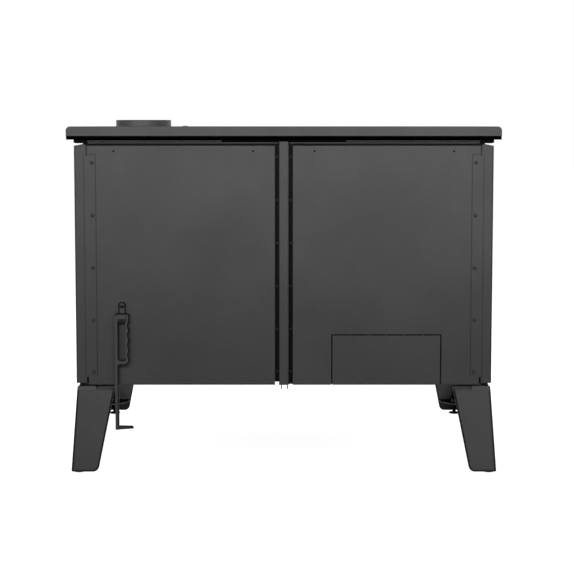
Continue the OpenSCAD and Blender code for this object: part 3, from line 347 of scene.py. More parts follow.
def fired_clay(name, color):
    """Coarse firebrick with grains, pits and chips of colour."""
    material, tree, shader = new_material(name)
    cloudy = ramp(tree, noise(tree, 18, 6), [(0.3, shade(color, 0.72)), (0.7, color)])
    grains = ramp(tree, noise(tree, 420, 3), [(0.55, 0.0), (0.68, 1.0)])
    tint = blend_colors(tree, grains, cloudy, shade(color, 1.15))
    tree.links.new(tint, shader.inputs["Base Color"])
    shader.inputs["Roughness"].default_value = 0.95
    shader.inputs["Specular IOR Level"].default_value = 0.2
    pits = tree.nodes.new("ShaderNodeTexVoronoi")
    pits.inputs["Scale"].default_value = 260
    tree.links.new(object_coords(tree), pits.inputs["Vector"])
    depth = ramp(tree, pits.outputs["Distance"], [(0.0, 0.0), (0.35, 1.0)])
    coarse = bump(tree, depth, 0.0004)
    fine = bump(tree, noise(tree, 60, 6), 0.0008, below=coarse)
    tree.links.new(fine, shader.inputs["Normal"])
    return material


def woven_rope(name, color):
    """Glass rope: crossing strands and a fuzzy colour."""
    material, tree, shader = new_material(name)
    strands = []
    for turn in (1, -1):
        mapping = tree.nodes.new("ShaderNodeMapping")
        mapping.inputs["Rotation"].default_value = (0.6 * turn, 0.7 * turn, 0.8 * turn)
        tree.links.new(object_coords(tree), mapping.inputs["Vector"])
        wave = tree.nodes.new("ShaderNodeTexWave")
        wave.inputs["Scale"].default_value = 130
        wave.inputs["Distortion"].default_value = 0.6
        wave.inputs["Detail"].default_value = 2
        tree.links.new(mapping.outputs[0], wave.inputs["Vector"])
        strands.append(wave.outputs["Fac"])
    height = product(tree, *strands)
    tint = ramp(tree, height, [(0.0, shade(color, 0.6)), (0.6, color)])
    tree.links.new(tint, shader.inputs["Base Color"])
    shader.inputs["Roughness"].default_value = 0.9
    shader.inputs["Sheen Weight"].default_value = 0.3
    tree.links.new(bump(tree, height, 0.0006), shader.inputs["Normal"])
    return material


def clear_glass(name):
    """Heat-proof glass with a faint, cloudy film of smoke."""
    material, tree, shader = new_material(name)
    film = ramp(tree, noise(tree, 7, 4), [(0.35, (0.86, 0.85, 0.82)), (0.7, (0.97, 0.97, 0.95))])
    tree.links.new(film, shader.inputs["Base Color"])
    haze = ramp(tree, noise(tree, 30, 4), [(0.3, 0.02), (0.8, 0.07)])
    tree.links.new(haze, shader.inputs["Roughness"])
    shader.inputs["Transmission Weight"].default_value = 1.0
    shader.inputs["IOR"].default_value = 1.47
    return material


def dial_enamel(name):
    """Grey enamel of the dial, a little cloudy."""
    material, tree, shader = new_material(name)
    tint = ramp(tree, noise(tree, 40, 4), [(0.3, 0.5), (0.7, 0.56)])
    tree.links.new(tint, shader.inputs["Base Color"])
    shader.inputs["Roughness"].default_value = 0.5
    return material


# Bands of painted shade and of painted light on the parts that stand still, (low, high) over the
# floor
# Near-black of painted shade
SHADE_BLACK = (0.002, 0.002, 0.002)
SHIELD_SHADE = (863.9 * MM, 880 * MM)
LIP_SHADE = ((871.7 * MM, 874 * MM), (876.6 * MM, 880 * MM))
LIP_LIGHT = (874 * MM, 876.6 * MM)
LEG_SHADE = (0.0, 33 * MM)
HOOK_SHADE = ((400 * MM, 410.5 * MM), (420.4 * MM, 424 * MM))

# The frame's lips at the back: half their length, and how deep they reach from the shields
LIP_HALF = 512 * MM
LIP_DEPTH = 9 * MM

# The knock-out in the left shield: its middle, width, height, slit and uncut bridges
KNOCKOUT_X = -270 * MM
KNOCKOUT_WIDTH = 289 * MM
KNOCKOUT_HEIGHT = 134.7 * MM
KNOCKOUT_SLIT = 2 * MM
KNOCKOUT_BRIDGES = 5
# How far the painted shade reaches either side of the slit, and half a bridge kept clear of it
SLIT_SHADE_REACH = 1.5 * MM
BRIDGE_HALF = 1.2 * MM
CORNER_REACH = 10 * MM

# Where the back plate shows through that slit, painted black there as painted shade
BEHIND_X = (-440 * MM, -100 * MM)
BEHIND_TOP = 390 * MM


def lay_over(material, mask, share=1.0, color=SHADE_BLACK):
    """Lays a colour over a paint where the mask is 1; by default the near-black of painted shade.
    """
    tree = material.node_tree
    socket = tree.nodes["Principled BSDF"].inputs["Base Color"]
    base = socket.links[0].from_socket
    tree.links.new(blend_colors(tree, product(tree, mask, share), base, color), socket)


def lay_bands(material, bands, share):
    """Lays painted shade, near-black, over a paint at bands of height."""
    tree = material.node_tree
    for low, high in bands:
        lay_over(material, between(tree, world_place(tree)["Z"], low, high), share)


def frame_paint(name, color):
    """Paint along the frame's back lips, with a band of painted light on the upper lip and painted
    shade, black, on their upper edges, ends and inside.
    """
    material = painted(name, color, 0.55, edge_shade=0.3, edge_r=1.5 * MM)
    tree = material.node_tree
    place = world_place(tree)
    past_end = difference(tree, magnitude(tree, place["X"]), LIP_HALF)
    inside = difference(tree, rear_y - LIP_DEPTH, place["Y"])
    mask = scalar_math(tree, "GREATER_THAN", larger(tree, past_end, inside), 0.0)
    lit_band = product(tree, between(tree, place["Z"], *LIP_LIGHT), difference(tree, 1.0, mask))
    for band in LIP_SHADE:
        mask = larger(tree, mask, between(tree, place["Z"], *band))
    lay_over(material, mask)
    lay_over(material, lit_band, color=shade(color, 2))
    return material


def shield_paint(name, color):
    """Paint of a heat shield, with painted shade, black, along its bent upper edge."""
    material = painted(name, color, 0.55, edge_shade=0.4, edge_r=2.5 * MM, bend_shade=0.9)
    lay_bands(material, [SHIELD_SHADE], 0.95)
    return material


def knockout_paint(name, color, top):
    """Shield paint, with painted shade, black, along the knock-out's laser-cut slit but not at its
    uncut bridges.
    """
    material = shield_paint(name, color)
    tree = material.node_tree
    place = world_place(tree)
    off = magnitude(tree, difference(tree, place["X"], KNOCKOUT_X))
    edge, line_z = (KNOCKOUT_WIDTH - KNOCKOUT_SLIT) / 2, top - KNOCKOUT_SLIT / 2
    sides = product(tree, between(tree, off, edge - SLIT_SHADE_REACH, edge + SLIT_SHADE_REACH),
                    scalar_math(tree, "LESS_THAN", place["Z"], line_z + SLIT_SHADE_REACH))
    over = product(tree, between(tree, place["Z"], line_z - SLIT_SHADE_REACH, line_z + SLIT_SHADE_REACH),
                   scalar_math(tree, "LESS_THAN", off, edge + SLIT_SHADE_REACH))
    per_metre = (KNOCKOUT_BRIDGES + 1) / KNOCKOUT_WIDTH
    steps = product(tree, off, per_metre)
    to_bridge = magnitude(tree, difference(tree, steps, scalar_math(tree, "ROUND", steps)))
    clear = scalar_math(tree, "GREATER_THAN", to_bridge, BRIDGE_HALF * per_metre)
    corner = scalar_math(tree, "GREATER_THAN", off, edge - CORNER_REACH)
    over = product(tree, over, larger(tree, clear, corner))
    lay_over(material, larger(tree, sides, over))
    return material


CHARCOAL = (0.088, 0.088, 0.09)
RAKE_GREY = (0.094, 0.094, 0.096)
# The charcoal made lighter as painted light, for the frame's lips and the legs' corners
LIT_LIP_GREY = (0.135, 0.135, 0.137)
DULL_STEEL = (0.03, 0.03, 0.031)
NEAR_BLACK = (0.004, 0.004, 0.004)

# Each sprayed paint below carries painted shade along its edges, some also along their bends
FRAME_PAINT = frame_paint("frame_paint", LIT_LIP_GREY)
PAINT = painted("charcoal_paint", CHARCOAL, 0.55, edge_shade=0.6, edge_r=3 * MM, bend_shade=0.9)
SHIELD_PAINT = shield_paint("shield_paint", CHARCOAL)
KNOCKOUT_PAINT = knockout_paint("knockout_paint", CHARCOAL,
                                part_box("rear_shield_left")[0].z + KNOCKOUT_HEIGHT)
CHANNEL_PAINT = painted("channel_paint", CHARCOAL, 0.55, edge_shade=0.2, edge_r=1 * MM, bend_shade=0.5,
                        bend_stops=(0.1, 0.5))
TOP_PAINT = painted("top_paint", (0.092, 0.092, 0.094), 0.6, peel_scale=520, peel=0.00015,
                    edge_shade=0.8, edge_r=1.5 * MM)
# The collar: painted shade along its top rim and on its round sides
COLLAR_PAINT = painted("collar_paint", (0.125, 0.125, 0.127), 0.6, edge_r=3 * MM, up=1.0,
                       bend_shade=0.6, bend_stops=(0.2, 0.5))
# The legs: paint lighter than the charcoal, partly their own colour and partly painted light, with
# painted shade, black, on their edges and bends
LEG_PAINT = painted("leg_paint", (0.12, 0.12, 0.122), 0.55, edge_shade=1.0, edge_r=8 * MM,
                    bend_shade=0.9, shade_level=0.0)
# The front legs' inner faces: a lighter paint as painted light, with painted shade, dark, below
# the gussets
LIT_LEG_INNER = painted("leg_inner_paint", (0.22, 0.22, 0.223), 0.55, edge_shade=0.95, edge_r=7 * MM)
lay_bands(LIT_LEG_INNER, [LEG_SHADE], 0.8)
# Black without gloss: the needle's own black, and on the cooktop's rim and the frame's ends partly
# a black steel and partly painted shade of the gap under the cooktop
BLACK_AND_SHADE_PAINT = painted("black_and_shade_paint", (0.0006, 0.0006, 0.0006), 0.8, specular=0.0)
DARK_STEEL = painted("dark_steel", DULL_STEEL, 0.6, specular=0.1)
DUCT_STEEL = painted("duct_steel", NEAR_BLACK, 0.7, specular=0.02)
BACK_STEEL = painted("back_steel", DULL_STEEL, 0.6, specular=0.1)
# The back plate is painted black behind the slit, as painted shade
back_tree = BACK_STEEL.node_tree
back_place = world_place(back_tree)
lay_over(BACK_STEEL, product(back_tree, between(back_tree, back_place["X"], *BEHIND_X),
                             scalar_math(back_tree, "LESS_THAN", back_place["Z"], BEHIND_TOP)))
# Screw heads: painted shade along their edges, except those leaning towards +X
PAINT_SCREW = painted("screw_paint", CHARCOAL, 0.45, specular=0.3, edge_shade=1.0, edge_r=5 * MM,
                      left=0.0)
# Near-black of the small screw heads, also laid on the gussets' tops as painted shade
SCREW_BLACK_AND_SHADE = painted("screw_black_and_shade", NEAR_BLACK, 0.6, specular=0.03)
HANDLE_PAINT = painted("handle_paint", DULL_STEEL, 0.4)
# Rake and hook: painted shade darkens their edges, the rake's not on the side towards +X
RAKE_PAINT = painted("rake_paint", RAKE_GREY, 0.5, edge_shade=1.0, edge_r=7 * MM, up=0.6, left=0.0,
                     shade_level=0.0)
HOOK_PAINT = painted("hook_paint", RAKE_GREY, 0.5, edge_shade=1.0, edge_r=6 * MM, up=1.0, shade_level=0.0)
# The hook's lip: painted shadow, dark, at its lower end and at its top
SHADED_HOOK_TIP = painted("shaded_hook_tip_paint", RAKE_GREY, 0.5, edge_shade=0.0)
lay_bands(SHADED_HOOK_TIP, HOOK_SHADE, 0.8)
FOOT_STEEL = painted("foot_steel", (0.012, 0.012, 0.012), 0.6, specular=0.05)
RAW_CAST = painted("raw_cast", (0.06, 0.058, 0.056), 0.75, peel_scale=300, peel=0.0004)
ENAMEL = painted("oven_enamel", (0.045, 0.046, 0.05), 0.42, peel_scale=300, peel=0.000002)
ZINC = bare_metal("zinc", (0.5, 0.5, 0.51), 0.35)
CHROME = bare_metal("chrome", (0.75, 0.75, 0.77), 0.12, (1, 1, 1), 30)
NICKEL = bare_metal("dark_nickel", (0.2, 0.2, 0.205), 0.25, (1, 1, 20), 40)
SLOT_SCREW = painted("slot_screw", (0.13, 0.13, 0.132), 0.5, edge_shade=0.5, edge_r=2 * MM)
BRICK = fired_clay("firebrick", (0.7, 0.58, 0.43))
BOARD = fired_clay("baffle_board", (0.74, 0.72, 0.66))
ROPE = woven_rope("rope", (0.62, 0.6, 0.55))
DARK_ROPE = woven_rope("sooty_rope", (0.012, 0.012, 0.012))
GLASS = clear_glass("door_glass")
# The legs' top lips: a darker paint as painted shade under the stove's body
SHADED_LIP_PAINT = painted("shaded_lip_paint", (0.07, 0.07, 0.071), 0.6, edge_shade=0.3, edge_r=2 * MM)
# The legs' top corners: the lighter copy of the charcoal, as painted light on their bends
LIT_CORNER_PAINT = painted("lit_corner_paint", LIT_LIP_GREY, 0.55, edge_shade=0.3, edge_r=2 * MM)
WELD = painted("weld_bead", (0.075, 0.075, 0.076), 0.5, peel_scale=500, peel=0.0001)
DIAL_FACE = dial_enamel("dial_face")
INK = painted("dial_ink", (0.02, 0.02, 0.02), 0.6)

FINISH = {
    CHANNEL_PAINT: ["rear_channel"],
    PAINT: ["side_panel_left", "side_panel_right", "front_plate", "firebox_door", "oven_door",
            "ash_drawer", "soot_flap", "hinge_brackets"],
    FRAME_PAINT: ["top_frame"],
    SHIELD_PAINT: ["rear_shield_right"],
    KNOCKOUT_PAINT: ["rear_shield_left"],
    TOP_PAINT: ["cooktop", "hob_lid", "cooktop_bolt"],
    COLLAR_PAINT: ["flue_collar"],
    LEG_PAINT: ["leg_front_left", "leg_front_right", "leg_rear_left", "leg_rear_right"],
    BLACK_AND_SHADE_PAINT: ["cooktop_rim", "thermometer_needle"],
    DUCT_STEEL: ["air_inlet_box"],
    BACK_STEEL: ["back_plate"],
    DARK_STEEL: ["base_pan", "firebox_shell", "drawer_runners", "oven_casing", "flue_partition",
                 "smoke_duct", "firebox_retainers", "oven_retainers", "rear_bracket",
                 "bypass_damper", "air_control"],
    HANDLE_PAINT: ["firebox_latch", "oven_latch"],
    RAKE_PAINT: ["soot_rake"],
    HOOK_PAINT: ["tool_hook"],
    RAW_CAST: ["fire_grate"],
    ENAMEL: ["oven_box"],
    PAINT_SCREW: ["shield_screws"],
    ZINC: ["leg_bolts", "hinge_pins", "air_tubes"],
    FOOT_STEEL: ["leveler_front_left", "leveler_front_right", "leveler_rear_left",
                 "leveler_rear_right"],
    CHROME: ["oven_rack_upper", "oven_rack_lower", "thermometer"],
    BRICK: ["floor_bricks", "wall_bricks"],
    BOARD: ["baffle_boards"],
    ROPE: ["firebox_gasket", "oven_gasket"],
    DARK_ROPE: ["cooktop_gasket"],
    GLASS: ["firebox_glass", "oven_glass"],
}

for material, names in FINISH.items():
    for name in names:
        data = nodes[name].data
        data.materials.clear()
        data.materials.append(material)


def paint_faces(name, material, wanted):
    """Gives one material to the faces of a part that pass a test of their centre and normal."""
    node = nodes[name]
    node.data.materials.append(material)
    slot = len(node.data.materials) - 1
    for face in node.data.polygons:
        if wanted(node.matrix_world @ face.center, node.matrix_world.to_3x3() @ face.normal):
            face.material_index = slot


# The gussets' top faces take the near-black paint as painted shade
GUSSET_TOP = (36 * MM, 40 * MM)
LEG_INSIDE_TOP = 230 * MM
for side in ("left", "right"):
    for end in ("front", "rear"):
        paint_faces("leg_%s_%s" % (end, side), SCREW_BLACK_AND_SHADE,
                    lambda c, n: n.z > 0.9 and GUSSET_TOP[0] < c.z < GUSSET_TOP[1])
    # The front legs' inner faces take the lighter paint, as painted light
    paint_faces("leg_front_" + side, LIT_LEG_INNER, lambda c, n: n.y > 0.5 and c.z < LEG_INSIDE_TOP)

# The hook's front lip takes the paint with its painted shadow
hook_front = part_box("tool_hook")[1].y - 3.1 * MM
paint_faces("tool_hook", SHADED_HOOK_TIP, lambda c, n: c.y > hook_front)


# Edges of the parts, rounded a little as sheared and painted steel has them

BEND_DEG = 30
EDGES = {
    0.8 * MM: ["cooktop", "cooktop_rim", "hob_lid", "firebox_door", "oven_door",
               "leg_front_left", "leg_front_right", "leg_rear_left", "leg_rear_right",
               "ash_drawer", "soot_flap", "front_plate", "flue_collar", "fire_grate"],
    0.5 * MM: ["rear_shield_left", "rear_shield_right", "rear_channel", "side_panel_left",
               "side_panel_right", "top_frame", "tool_hook", "soot_rake", "hinge_brackets",
               "firebox_latch", "oven_latch"],
    1.5 * MM: ["floor_bricks", "wall_bricks", "baffle_boards"],
}

for width, names in EDGES.items():
    for name in names:
        bevel = nodes[name].modifiers.new("edges", "BEVEL")
        bevel.width = width
        bevel.segments = 2
        bevel.limit_method = "ANGLE"
        bevel.angle_limit = math.radians(BEND_DEG)
        bevel.harden_normals = False


# Shapes for the small pieces

SHARP_DEG = 35
SHEET = 2 * MM
ASKEW = Vector((0.31, 0.17, 0.93))


def mm(points):
    """Points given in millimetres."""
    return [(a * MM, b * MM) for a, b in points]


def middle(name):
    """The middle of a part's box."""
    low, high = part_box(name)
    return (low + high) / 2


def inset(span, depth):
    """A span drawn in at both ends."""
    return span[0] + depth, span[1] - depth


def at(x, y, z, facing="up"):
    """A place whose own Z axis looks up, back (+Y), front (-Y) or down."""
    turns = {"up": 0.0, "back": -90.0, "front": 90.0, "down": 180.0}
    turn = Matrix.Rotation(math.radians(turns[facing]), 4, "X")
    return Matrix.Translation((x, y, z)) @ turn


def circle(radius, z, steps):
    """Points round the Z axis at a height."""
    angles = [math.tau * i / steps for i in range(steps)]
    return [(radius * math.cos(a), radius * math.sin(a), z) for a in angles]


def line(start, end, steps):
    start, end = Vector(start), Vector(end)
    return [start.lerp(end, i / steps) for i in range(steps + 1)]


def turned(profile, steps=32):
    """A solid turned about Z from (radius, height) points; a radius of 0 closes it with a tip."""
    bm = bmesh.new()
    rings = []
    for r, z in profile:
        points = circle(r, z, steps) if r else [(0, 0, z)]
        rings.append([bm.verts.new(point) for point in points])
    closed = len(rings[0]) > 1 and len(rings[-1]) > 1
    for a, b in zip(rings, rings[1:] + (rings[:1] if closed else [])):
        for i in range(steps):
            k = i + 1
            corners = [a[i % len(a)], a[k % len(a)], b[k % len(b)], b[i % len(b)]]
            unique = list(dict.fromkeys(corners))
            if len(unique) > 2:
                bm.faces.new(unique)
    bmesh.ops.recalc_face_normals(bm, faces=bm.faces)
    return bm


def swept(points, radius, closed=False, sides=10, bead=0.0, bead_pitch=0.004):
    """A round tube along points; bead swells and pinches it as the ripples of a weld do."""
    bm = bmesh.new()
    rings = []
    count = len(points)
    reach = 0.0
    for i, here in enumerate(points):
        before = points[(i - 1) % count] if closed or i else here
        after = points[(i + 1) % count] if closed or i < count - 1 else here
        along = (after - before).normalized()
        side = along.cross(ASKEW).normalized()
        up = side.cross(along)
        if i:
            reach += (here - points[i - 1]).length
        r = radius * (1 + bead * math.sin(math.tau * reach / bead_pitch))
        ring = []
        for k in range(sides):
            a = math.tau * k / sides
            ring.append(bm.verts.new(here + r * (side * math.cos(a) + up * math.sin(a))))
        rings.append(ring)
    for a, b in list(zip(rings, rings[1:])) + ([(rings[-1], rings[0])] if closed else []):
        for k in range(sides):
            bm.faces.new((a[k], a[(k + 1) % sides], b[(k + 1) % sides], b[k]))
    if not closed:
        bm.faces.new(rings[0])
        bm.faces.new(rings[-1])
    bmesh.ops.recalc_face_normals(bm, faces=bm.faces)
    return bm


def bent_lip(x0, x1, section):
    """A strip of sheet from x0 to x1, bent along a section of (y, z) points."""
    bm = bmesh.new()
    outline = list(section) + [(y - SHEET, z) for y, z in reversed(section)]
    rows = [[bm.verts.new((x, y, z)) for x in (x0, x1)] for y, z in outline]
    for a, b in zip(rows, rows[1:] + rows[:1]):
        bm.faces.new((a[0], a[1], b[1], b[0]))
    for k in (0, 1):
        bm.faces.new([row[k] for row in rows])
    bmesh.ops.recalc_face_normals(bm, faces=bm.faces)
    return bm


def cross_head(radius, height, recess):
    """A domed screw head with a cross recess."""
    steps, rows = 48, 12
    dome, arm_width, arm_length = 0.45, 0.13, 0.62
    bm = bmesh.new()
    rings = [[bm.verts.new((0, 0, height - recess))]]
    for j in range(1, rows + 1):
        r = radius * j / rows
        surface = height * (1 - dome * (r / radius) ** 2)
        ring = []
        for x, y, z in circle(r, surface, steps):
            in_arm = min(abs(x), abs(y)) < radius * arm_width and r < radius * arm_length
            ring.append(bm.verts.new((x, y, z - recess if in_arm else z)))
        rings.append(ring)
    rings.append([bm.verts.new(point) for point in circle(radius, 0, steps)])
    for a, b in zip(rings, rings[1:]):
        for i in range(steps):
            k = (i + 1) % steps
            bm.faces.new((a[0], b[i], b[k]) if len(a) == 1 else (a[i], b[i], b[k], a[k]))
    bm.faces.new(list(reversed(rings[-1])))
    bmesh.ops.recalc_face_normals(bm, faces=bm.faces)
    return bm


def hex_head(across, height, sink):
    """A six-sided head with a chamfered rim and a six-sided socket."""
    outer, socket = across / 2, across * 0.27
    return turned([(0, height - sink), (socket, height - sink), (socket, height),
                   (outer * 0.9, height), (outer, height * 0.8), (outer, 0), (0, 0)], 6)


def thread(radius, depth, pitch, z0, z1, steps=20):
    """A screw thread: a sharp ridge wound round a stem."""
    bm = bmesh.new()
    half = pitch * 0.42
    ridge = ((radius - depth, -half), (radius, 0.0), (radius - depth, half))
    rows = []
    for i in range(int((z1 - z0) / pitch * steps) + 1):
        a = math.tau * i / steps
        z = z0 + pitch * i / steps
        rows.append([bm.verts.new((r * math.cos(a), r * math.sin(a), z + dz)) for r, dz in ridge])
    for a, b in zip(rows, rows[1:]):
        for k in range(3):
            bm.faces.new((a[k], a[(k + 1) % 3], b[(k + 1) % 3], b[k]))
    bm.faces.new(rows[0])
    bm.faces.new(rows[-1])
    bmesh.ops.recalc_face_normals(bm, faces=bm.faces)
    return bm


def add_piece(name, parts, material, body):
    """One object from several (bmesh, matrix) parts, riding on a body."""
    joined = bmesh.new()
    for bm, place in parts:
        data = bpy.data.meshes.new("part")
        bm.to_mesh(data)
        data.transform(place)
        if place.determinant() < 0:
            data.flip_normals()
        joined.from_mesh(data)
        bpy.data.meshes.remove(data)
    for face in joined.faces:
        face.smooth = True
    for edge in joined.edges:
        if len(edge.link_faces) == 2 and edge.calc_face_angle() > math.radians(SHARP_DEG):
            edge.smooth = False
    data = bpy.data.meshes.new(name)
    joined.to_mesh(data)
    joined.free()
    obj = bpy.data.objects.new(name, data)
    data.materials.append(material)
    bpy.context.scene.collection.objects.link(obj)
    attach(obj, body)


# Screws at the back: places from the middle, heights over the floor

SHIELD_MM = 863.8 - 237
STRIP_X = 522.3 * MM - 21 * MM
SLOT_X = 18.15 * MM
TOP_SCREW_XS = (80.3 * MM, 444.1 * MM)
TOP_SCREW_Z = 849.4 * MM
fold_face = rear_y - 1.5 * MM
back_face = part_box("back_plate")[1].y


def spread(low, length, count):
    """Evenly spaced heights, from millimetres."""
    return [(low + i * length / (count - 1)) * MM for i in range(count)]


def screw_heads(name, head, sizes, xs, y, zs, material):
    """Screw heads on both sides of the middle, facing back."""
    places = [at(side * x, y, z, "back") for side in SIDES for x in xs for z in zs]
    add_piece(name, [(head(*sizes), place) for place in places], material, "root")


screw_heads("strip_screw_heads", cross_head, (4.5 * MM, 2.5 * MM, 0.9 * MM), [STRIP_X],
            fold_face, spread(267, SHIELD_MM - 74.3, 5), PAINT_SCREW)
screw_heads("top_screw_heads", cross_head, (2.5 * MM, 1.3 * MM, 0.5 * MM), TOP_SCREW_XS,
            rear_y, [TOP_SCREW_Z], SCREW_BLACK_AND_SHADE)
screw_heads("slot_screw_heads", hex_head, (8 * MM, 2.4 * MM, 1.2 * MM), [SLOT_X],
            back_face, spread(263.6, SHIELD_MM - 55.8, 6), SLOT_SCREW)


# Cooktop: the bolt's socket, the collar's weld and the folded ends of the frame below

COLLAR_WELD_R = 75.2 * MM
FRAME_END_X = (534 * MM, 548.4 * MM)
END_SECTION = mm([(341, 871.2), (341.3, 873.5), (341.3, 878.0), (340.4, 879.4)])

bolt = middle("cooktop_bolt")
add_piece("cooktop_bolt_socket",
          [(hex_head(11 * MM, 1.6 * MM, 1.3 * MM), at(bolt.x, bolt.y, top_z))],
          TOP_PAINT, "root")

collar = middle("flue_collar")
collar_foot = Vector((collar.x, collar.y, top_z + 0.1 * MM))
collar_path = [collar_foot + Vector(point) for point in circle(COLLAR_WELD_R, 0, 240)]
add_piece("collar_weld", [(swept(collar_path, 1.0 * MM, closed=True, sides=8, bead=0.14), STILL)],
          COLLAR_PAINT, "root")

# The frame's folded ends are black as painted shade
add_piece("frame_ends",
          [(bent_lip(*FRAME_END_X, END_SECTION), Matrix.Diagonal((side, 1, 1, 1)))
           for side in SIDES], BLACK_AND_SHADE_PAINT, "root")


# Legs: lips and corners at the top, welds along the gussets, threads on the levelling feet

LIP_X = (447.5 * MM, 494.8 * MM)
LIP_SECTION = mm([(343.2, 221), (341.2, 223.5), (336.4, 229), (334.6, 231.4)])
CORNER_X = (495.2 * MM, 545.4 * MM)
CORNER_SECTION = mm([(344.0, 219), (343.7, 226.5), (342.4, 229)])
GUSSET_X, GUSSET_Y = 553.6 * MM, 350.8 * MM
WELD_ZS = (33.4 * MM, 38.6 * MM)
WELD_ENDS = (4 * MM, 52 * MM)
WELD_R = 1.6 * MM
THREAD_R, THREAD_DEPTH, THREAD_PITCH = 5.5 * MM, 1.0 * MM, 1.75 * MM
THREAD_SPANS = mm([(6.5, 32), (48, 66)])
mid_y = (rear_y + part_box("front_plate")[0].y) / 2


def gusset_welds(across, along):
    """Weld beads under and over a leg's gusset, along both walls of the leg."""
    x, y = across * GUSSET_X, mid_y + along * (GUSSET_Y - mid_y)
    near, far = WELD_ENDS
    beads = []
    for z in WELD_ZS:
        for start, end in (((x, y - along * near, z), (x, y - along * far, z)),
                           ((x - across * near, y, z), (x - across * far, y, z))):
            beads.append((swept(line(start, end, 60), WELD_R, sides=8, bead=0.16), STILL))
    return beads


for across, along in ((s, t) for s in SIDES for t in SIDES):
    name = ("rear_" if along > 0 else "front_") + ("right" if across > 0 else "left")
    flip = Matrix.Diagonal((across, 1, 1, 1))
    if along < 0:
        flip = Matrix.Translation((0, 2 * mid_y, 0)) @ Matrix.Diagonal((across, -1, 1, 1))
    # Lips in the darker paint as painted shade, corners in the lighter paint as painted light
    add_piece("leg_lip_" + name, [(bent_lip(*LIP_X, LIP_SECTION), flip)],
              SHADED_LIP_PAINT, "root")
    add_piece("leg_corner_" + name, [(bent_lip(*CORNER_X, CORNER_SECTION), flip)],
              LIT_CORNER_PAINT, "root")
    add_piece("leg_weld_" + name, gusset_welds(across, along), WELD, "root")
    foot = middle("leveler_" + name)
    add_piece("foot_thread_" + name,
              [(thread(THREAD_R, THREAD_DEPTH, THREAD_PITCH, low, high), at(foot.x, foot.y, 0))
               for low, high in THREAD_SPANS], FOOT_STEEL, "leveler_" + name)


# Doors: hinge finials and caps, glass screws, latch roses, window trims and grips

HINGE_X, HINGE_Y = 508 * MM, -322.3 * MM
HINGE_ZS = (440 * MM, 740 * MM)
HINGE_HALF = 22 * MM
FINIAL = mm([(0, 8.5), (1.6, 8.2), (2.9, 6.9), (3.2, 5.4), (2.5, 4.0), (1.9, 3.2), (4.6, 2.2),
             (6.2, 1.2), (6.6, 0), (0, 0)])

DOOR_BACK = -310.3 * MM
door_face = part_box("oven_door")[0].y
RETAINER_X, RETAINER_Z = (59.3 * MM, 446.7 * MM), (448.3 * MM, 731.7 * MM)
SCREW_IN = 7 * MM
UPRIGHT_IN, CROSSBAR_IN = 50 * MM, 70 * MM

WINDOW_X, WINDOW_Z = (68 * MM, 438 * MM), (457 * MM, 723 * MM)
TRIM_OUT = 5.5 * MM
TRIM_R = 2.2 * MM
TRIM_CORNER = 15 * MM

LATCH_X, LATCH_Z = 20 * MM, 590 * MM
LATCH_ROSE = mm([(9.4, 0), (15, 0), (15, 0.9), (13.6, 1.9), (11, 1.9), (10.4, 2.4), (9.4, 2.4)])
GRIP_Y, GRIP_Z = -354.5 * MM, 478 * MM
FERRULE = mm([(5.1, 86), (8.6, 86), (9.0, 88), (9.0, 91), (8.0, 92), (8.0, 93), (8.6, 94),
              (8.0, 96), (6.4, 97.5), (5.1, 97.5)])
RIBS = [p for i in range(5) for p in ((9.35, 40 + 3 * i), (9.95, 41 + 3 * i), (9.95, 42 + 3 * i))]
GRIP_BAND = mm([(9.2, 39)] + RIBS + [(9.2, 56)])


def glass_screws():
    """Places (x, z) of the retainer's screws: two on each upright and on each crossbar."""
    return ([(x, z) for x in inset(RETAINER_X, SCREW_IN) for z in inset(RETAINER_Z, UPRIGHT_IN)]
            + [(x, z) for x in inset(RETAINER_X, CROSSBAR_IN)
               for z in inset(RETAINER_Z, SCREW_IN)])


def window_path(side):
    """The rounded line round a window, on the door's face."""
    left, right = inset(inset(WINDOW_X, -TRIM_OUT), TRIM_CORNER)
    low, high = inset(inset(WINDOW_Z, -TRIM_OUT), TRIM_CORNER)
    path = []
    for quarter, (x, z) in enumerate(((right, high), (left, high), (left, low), (right, low))):
        for i in range(9):
            a = math.radians(90 * quarter + 90 * i / 8)
            path.append(Vector((side * (x + TRIM_CORNER * math.cos(a)), door_face,
                                z + TRIM_CORNER * math.sin(a))))
    return path


for side, name in ((1, "oven"), (-1, "firebox")):
    door = name + "_door"
    add_piece(name + "_hinge_finials",
              [(turned(FINIAL), at(side * HINGE_X, HINGE_Y, z + HINGE_HALF)) for z in HINGE_ZS],
              PAINT, door)
    add_piece(name + "_hinge_caps",
              [(turned(FINIAL), at(side * HINGE_X, HINGE_Y, z - HINGE_HALF, "down"))
               for z in HINGE_ZS], PAINT, "root")
    add_piece(name + "_glass_screws",
              [(cross_head(4 * MM, 1.8 * MM, 0.8 * MM), at(side * x, DOOR_BACK, z, "back"))
               for x, z in glass_screws()], ZINC, door)
    add_piece(name + "_latch_rose",
              [(turned(LATCH_ROSE), at(side * LATCH_X, door_face, LATCH_Z, "front"))],
              HANDLE_PAINT, door)
    add_piece(name + "_window_trim",
              [(swept(window_path(side), TRIM_R, closed=True, sides=14), STILL)],
              PAINT, door)
    add_piece(name + "_grip_ferrule",
              [(turned(profile), at(side * LATCH_X, GRIP_Y, GRIP_Z))
               for profile in (FERRULE, GRIP_BAND)], NICKEL, name + "_latch")


# Thermometer: plate, marks and bezel

DIAL_X, DIAL_Z = 253 * MM, 754 * MM
DIAL_STEPS = 64
PLATE_THICK = 0.5 * MM
MARK_THICK = 0.12 * MM
DIAL_PLATE = mm([(1.8, 0), (21.3, 0), (21.3, 0.3), (20.6, 0.5), (1.8, 0.5)])
BEZEL = mm([(20.6, 3.4), (21.6, 3.4), (23.9, 4.2), (23.9, 4.9), (22.6, 5.4), (21.0, 5.0)])
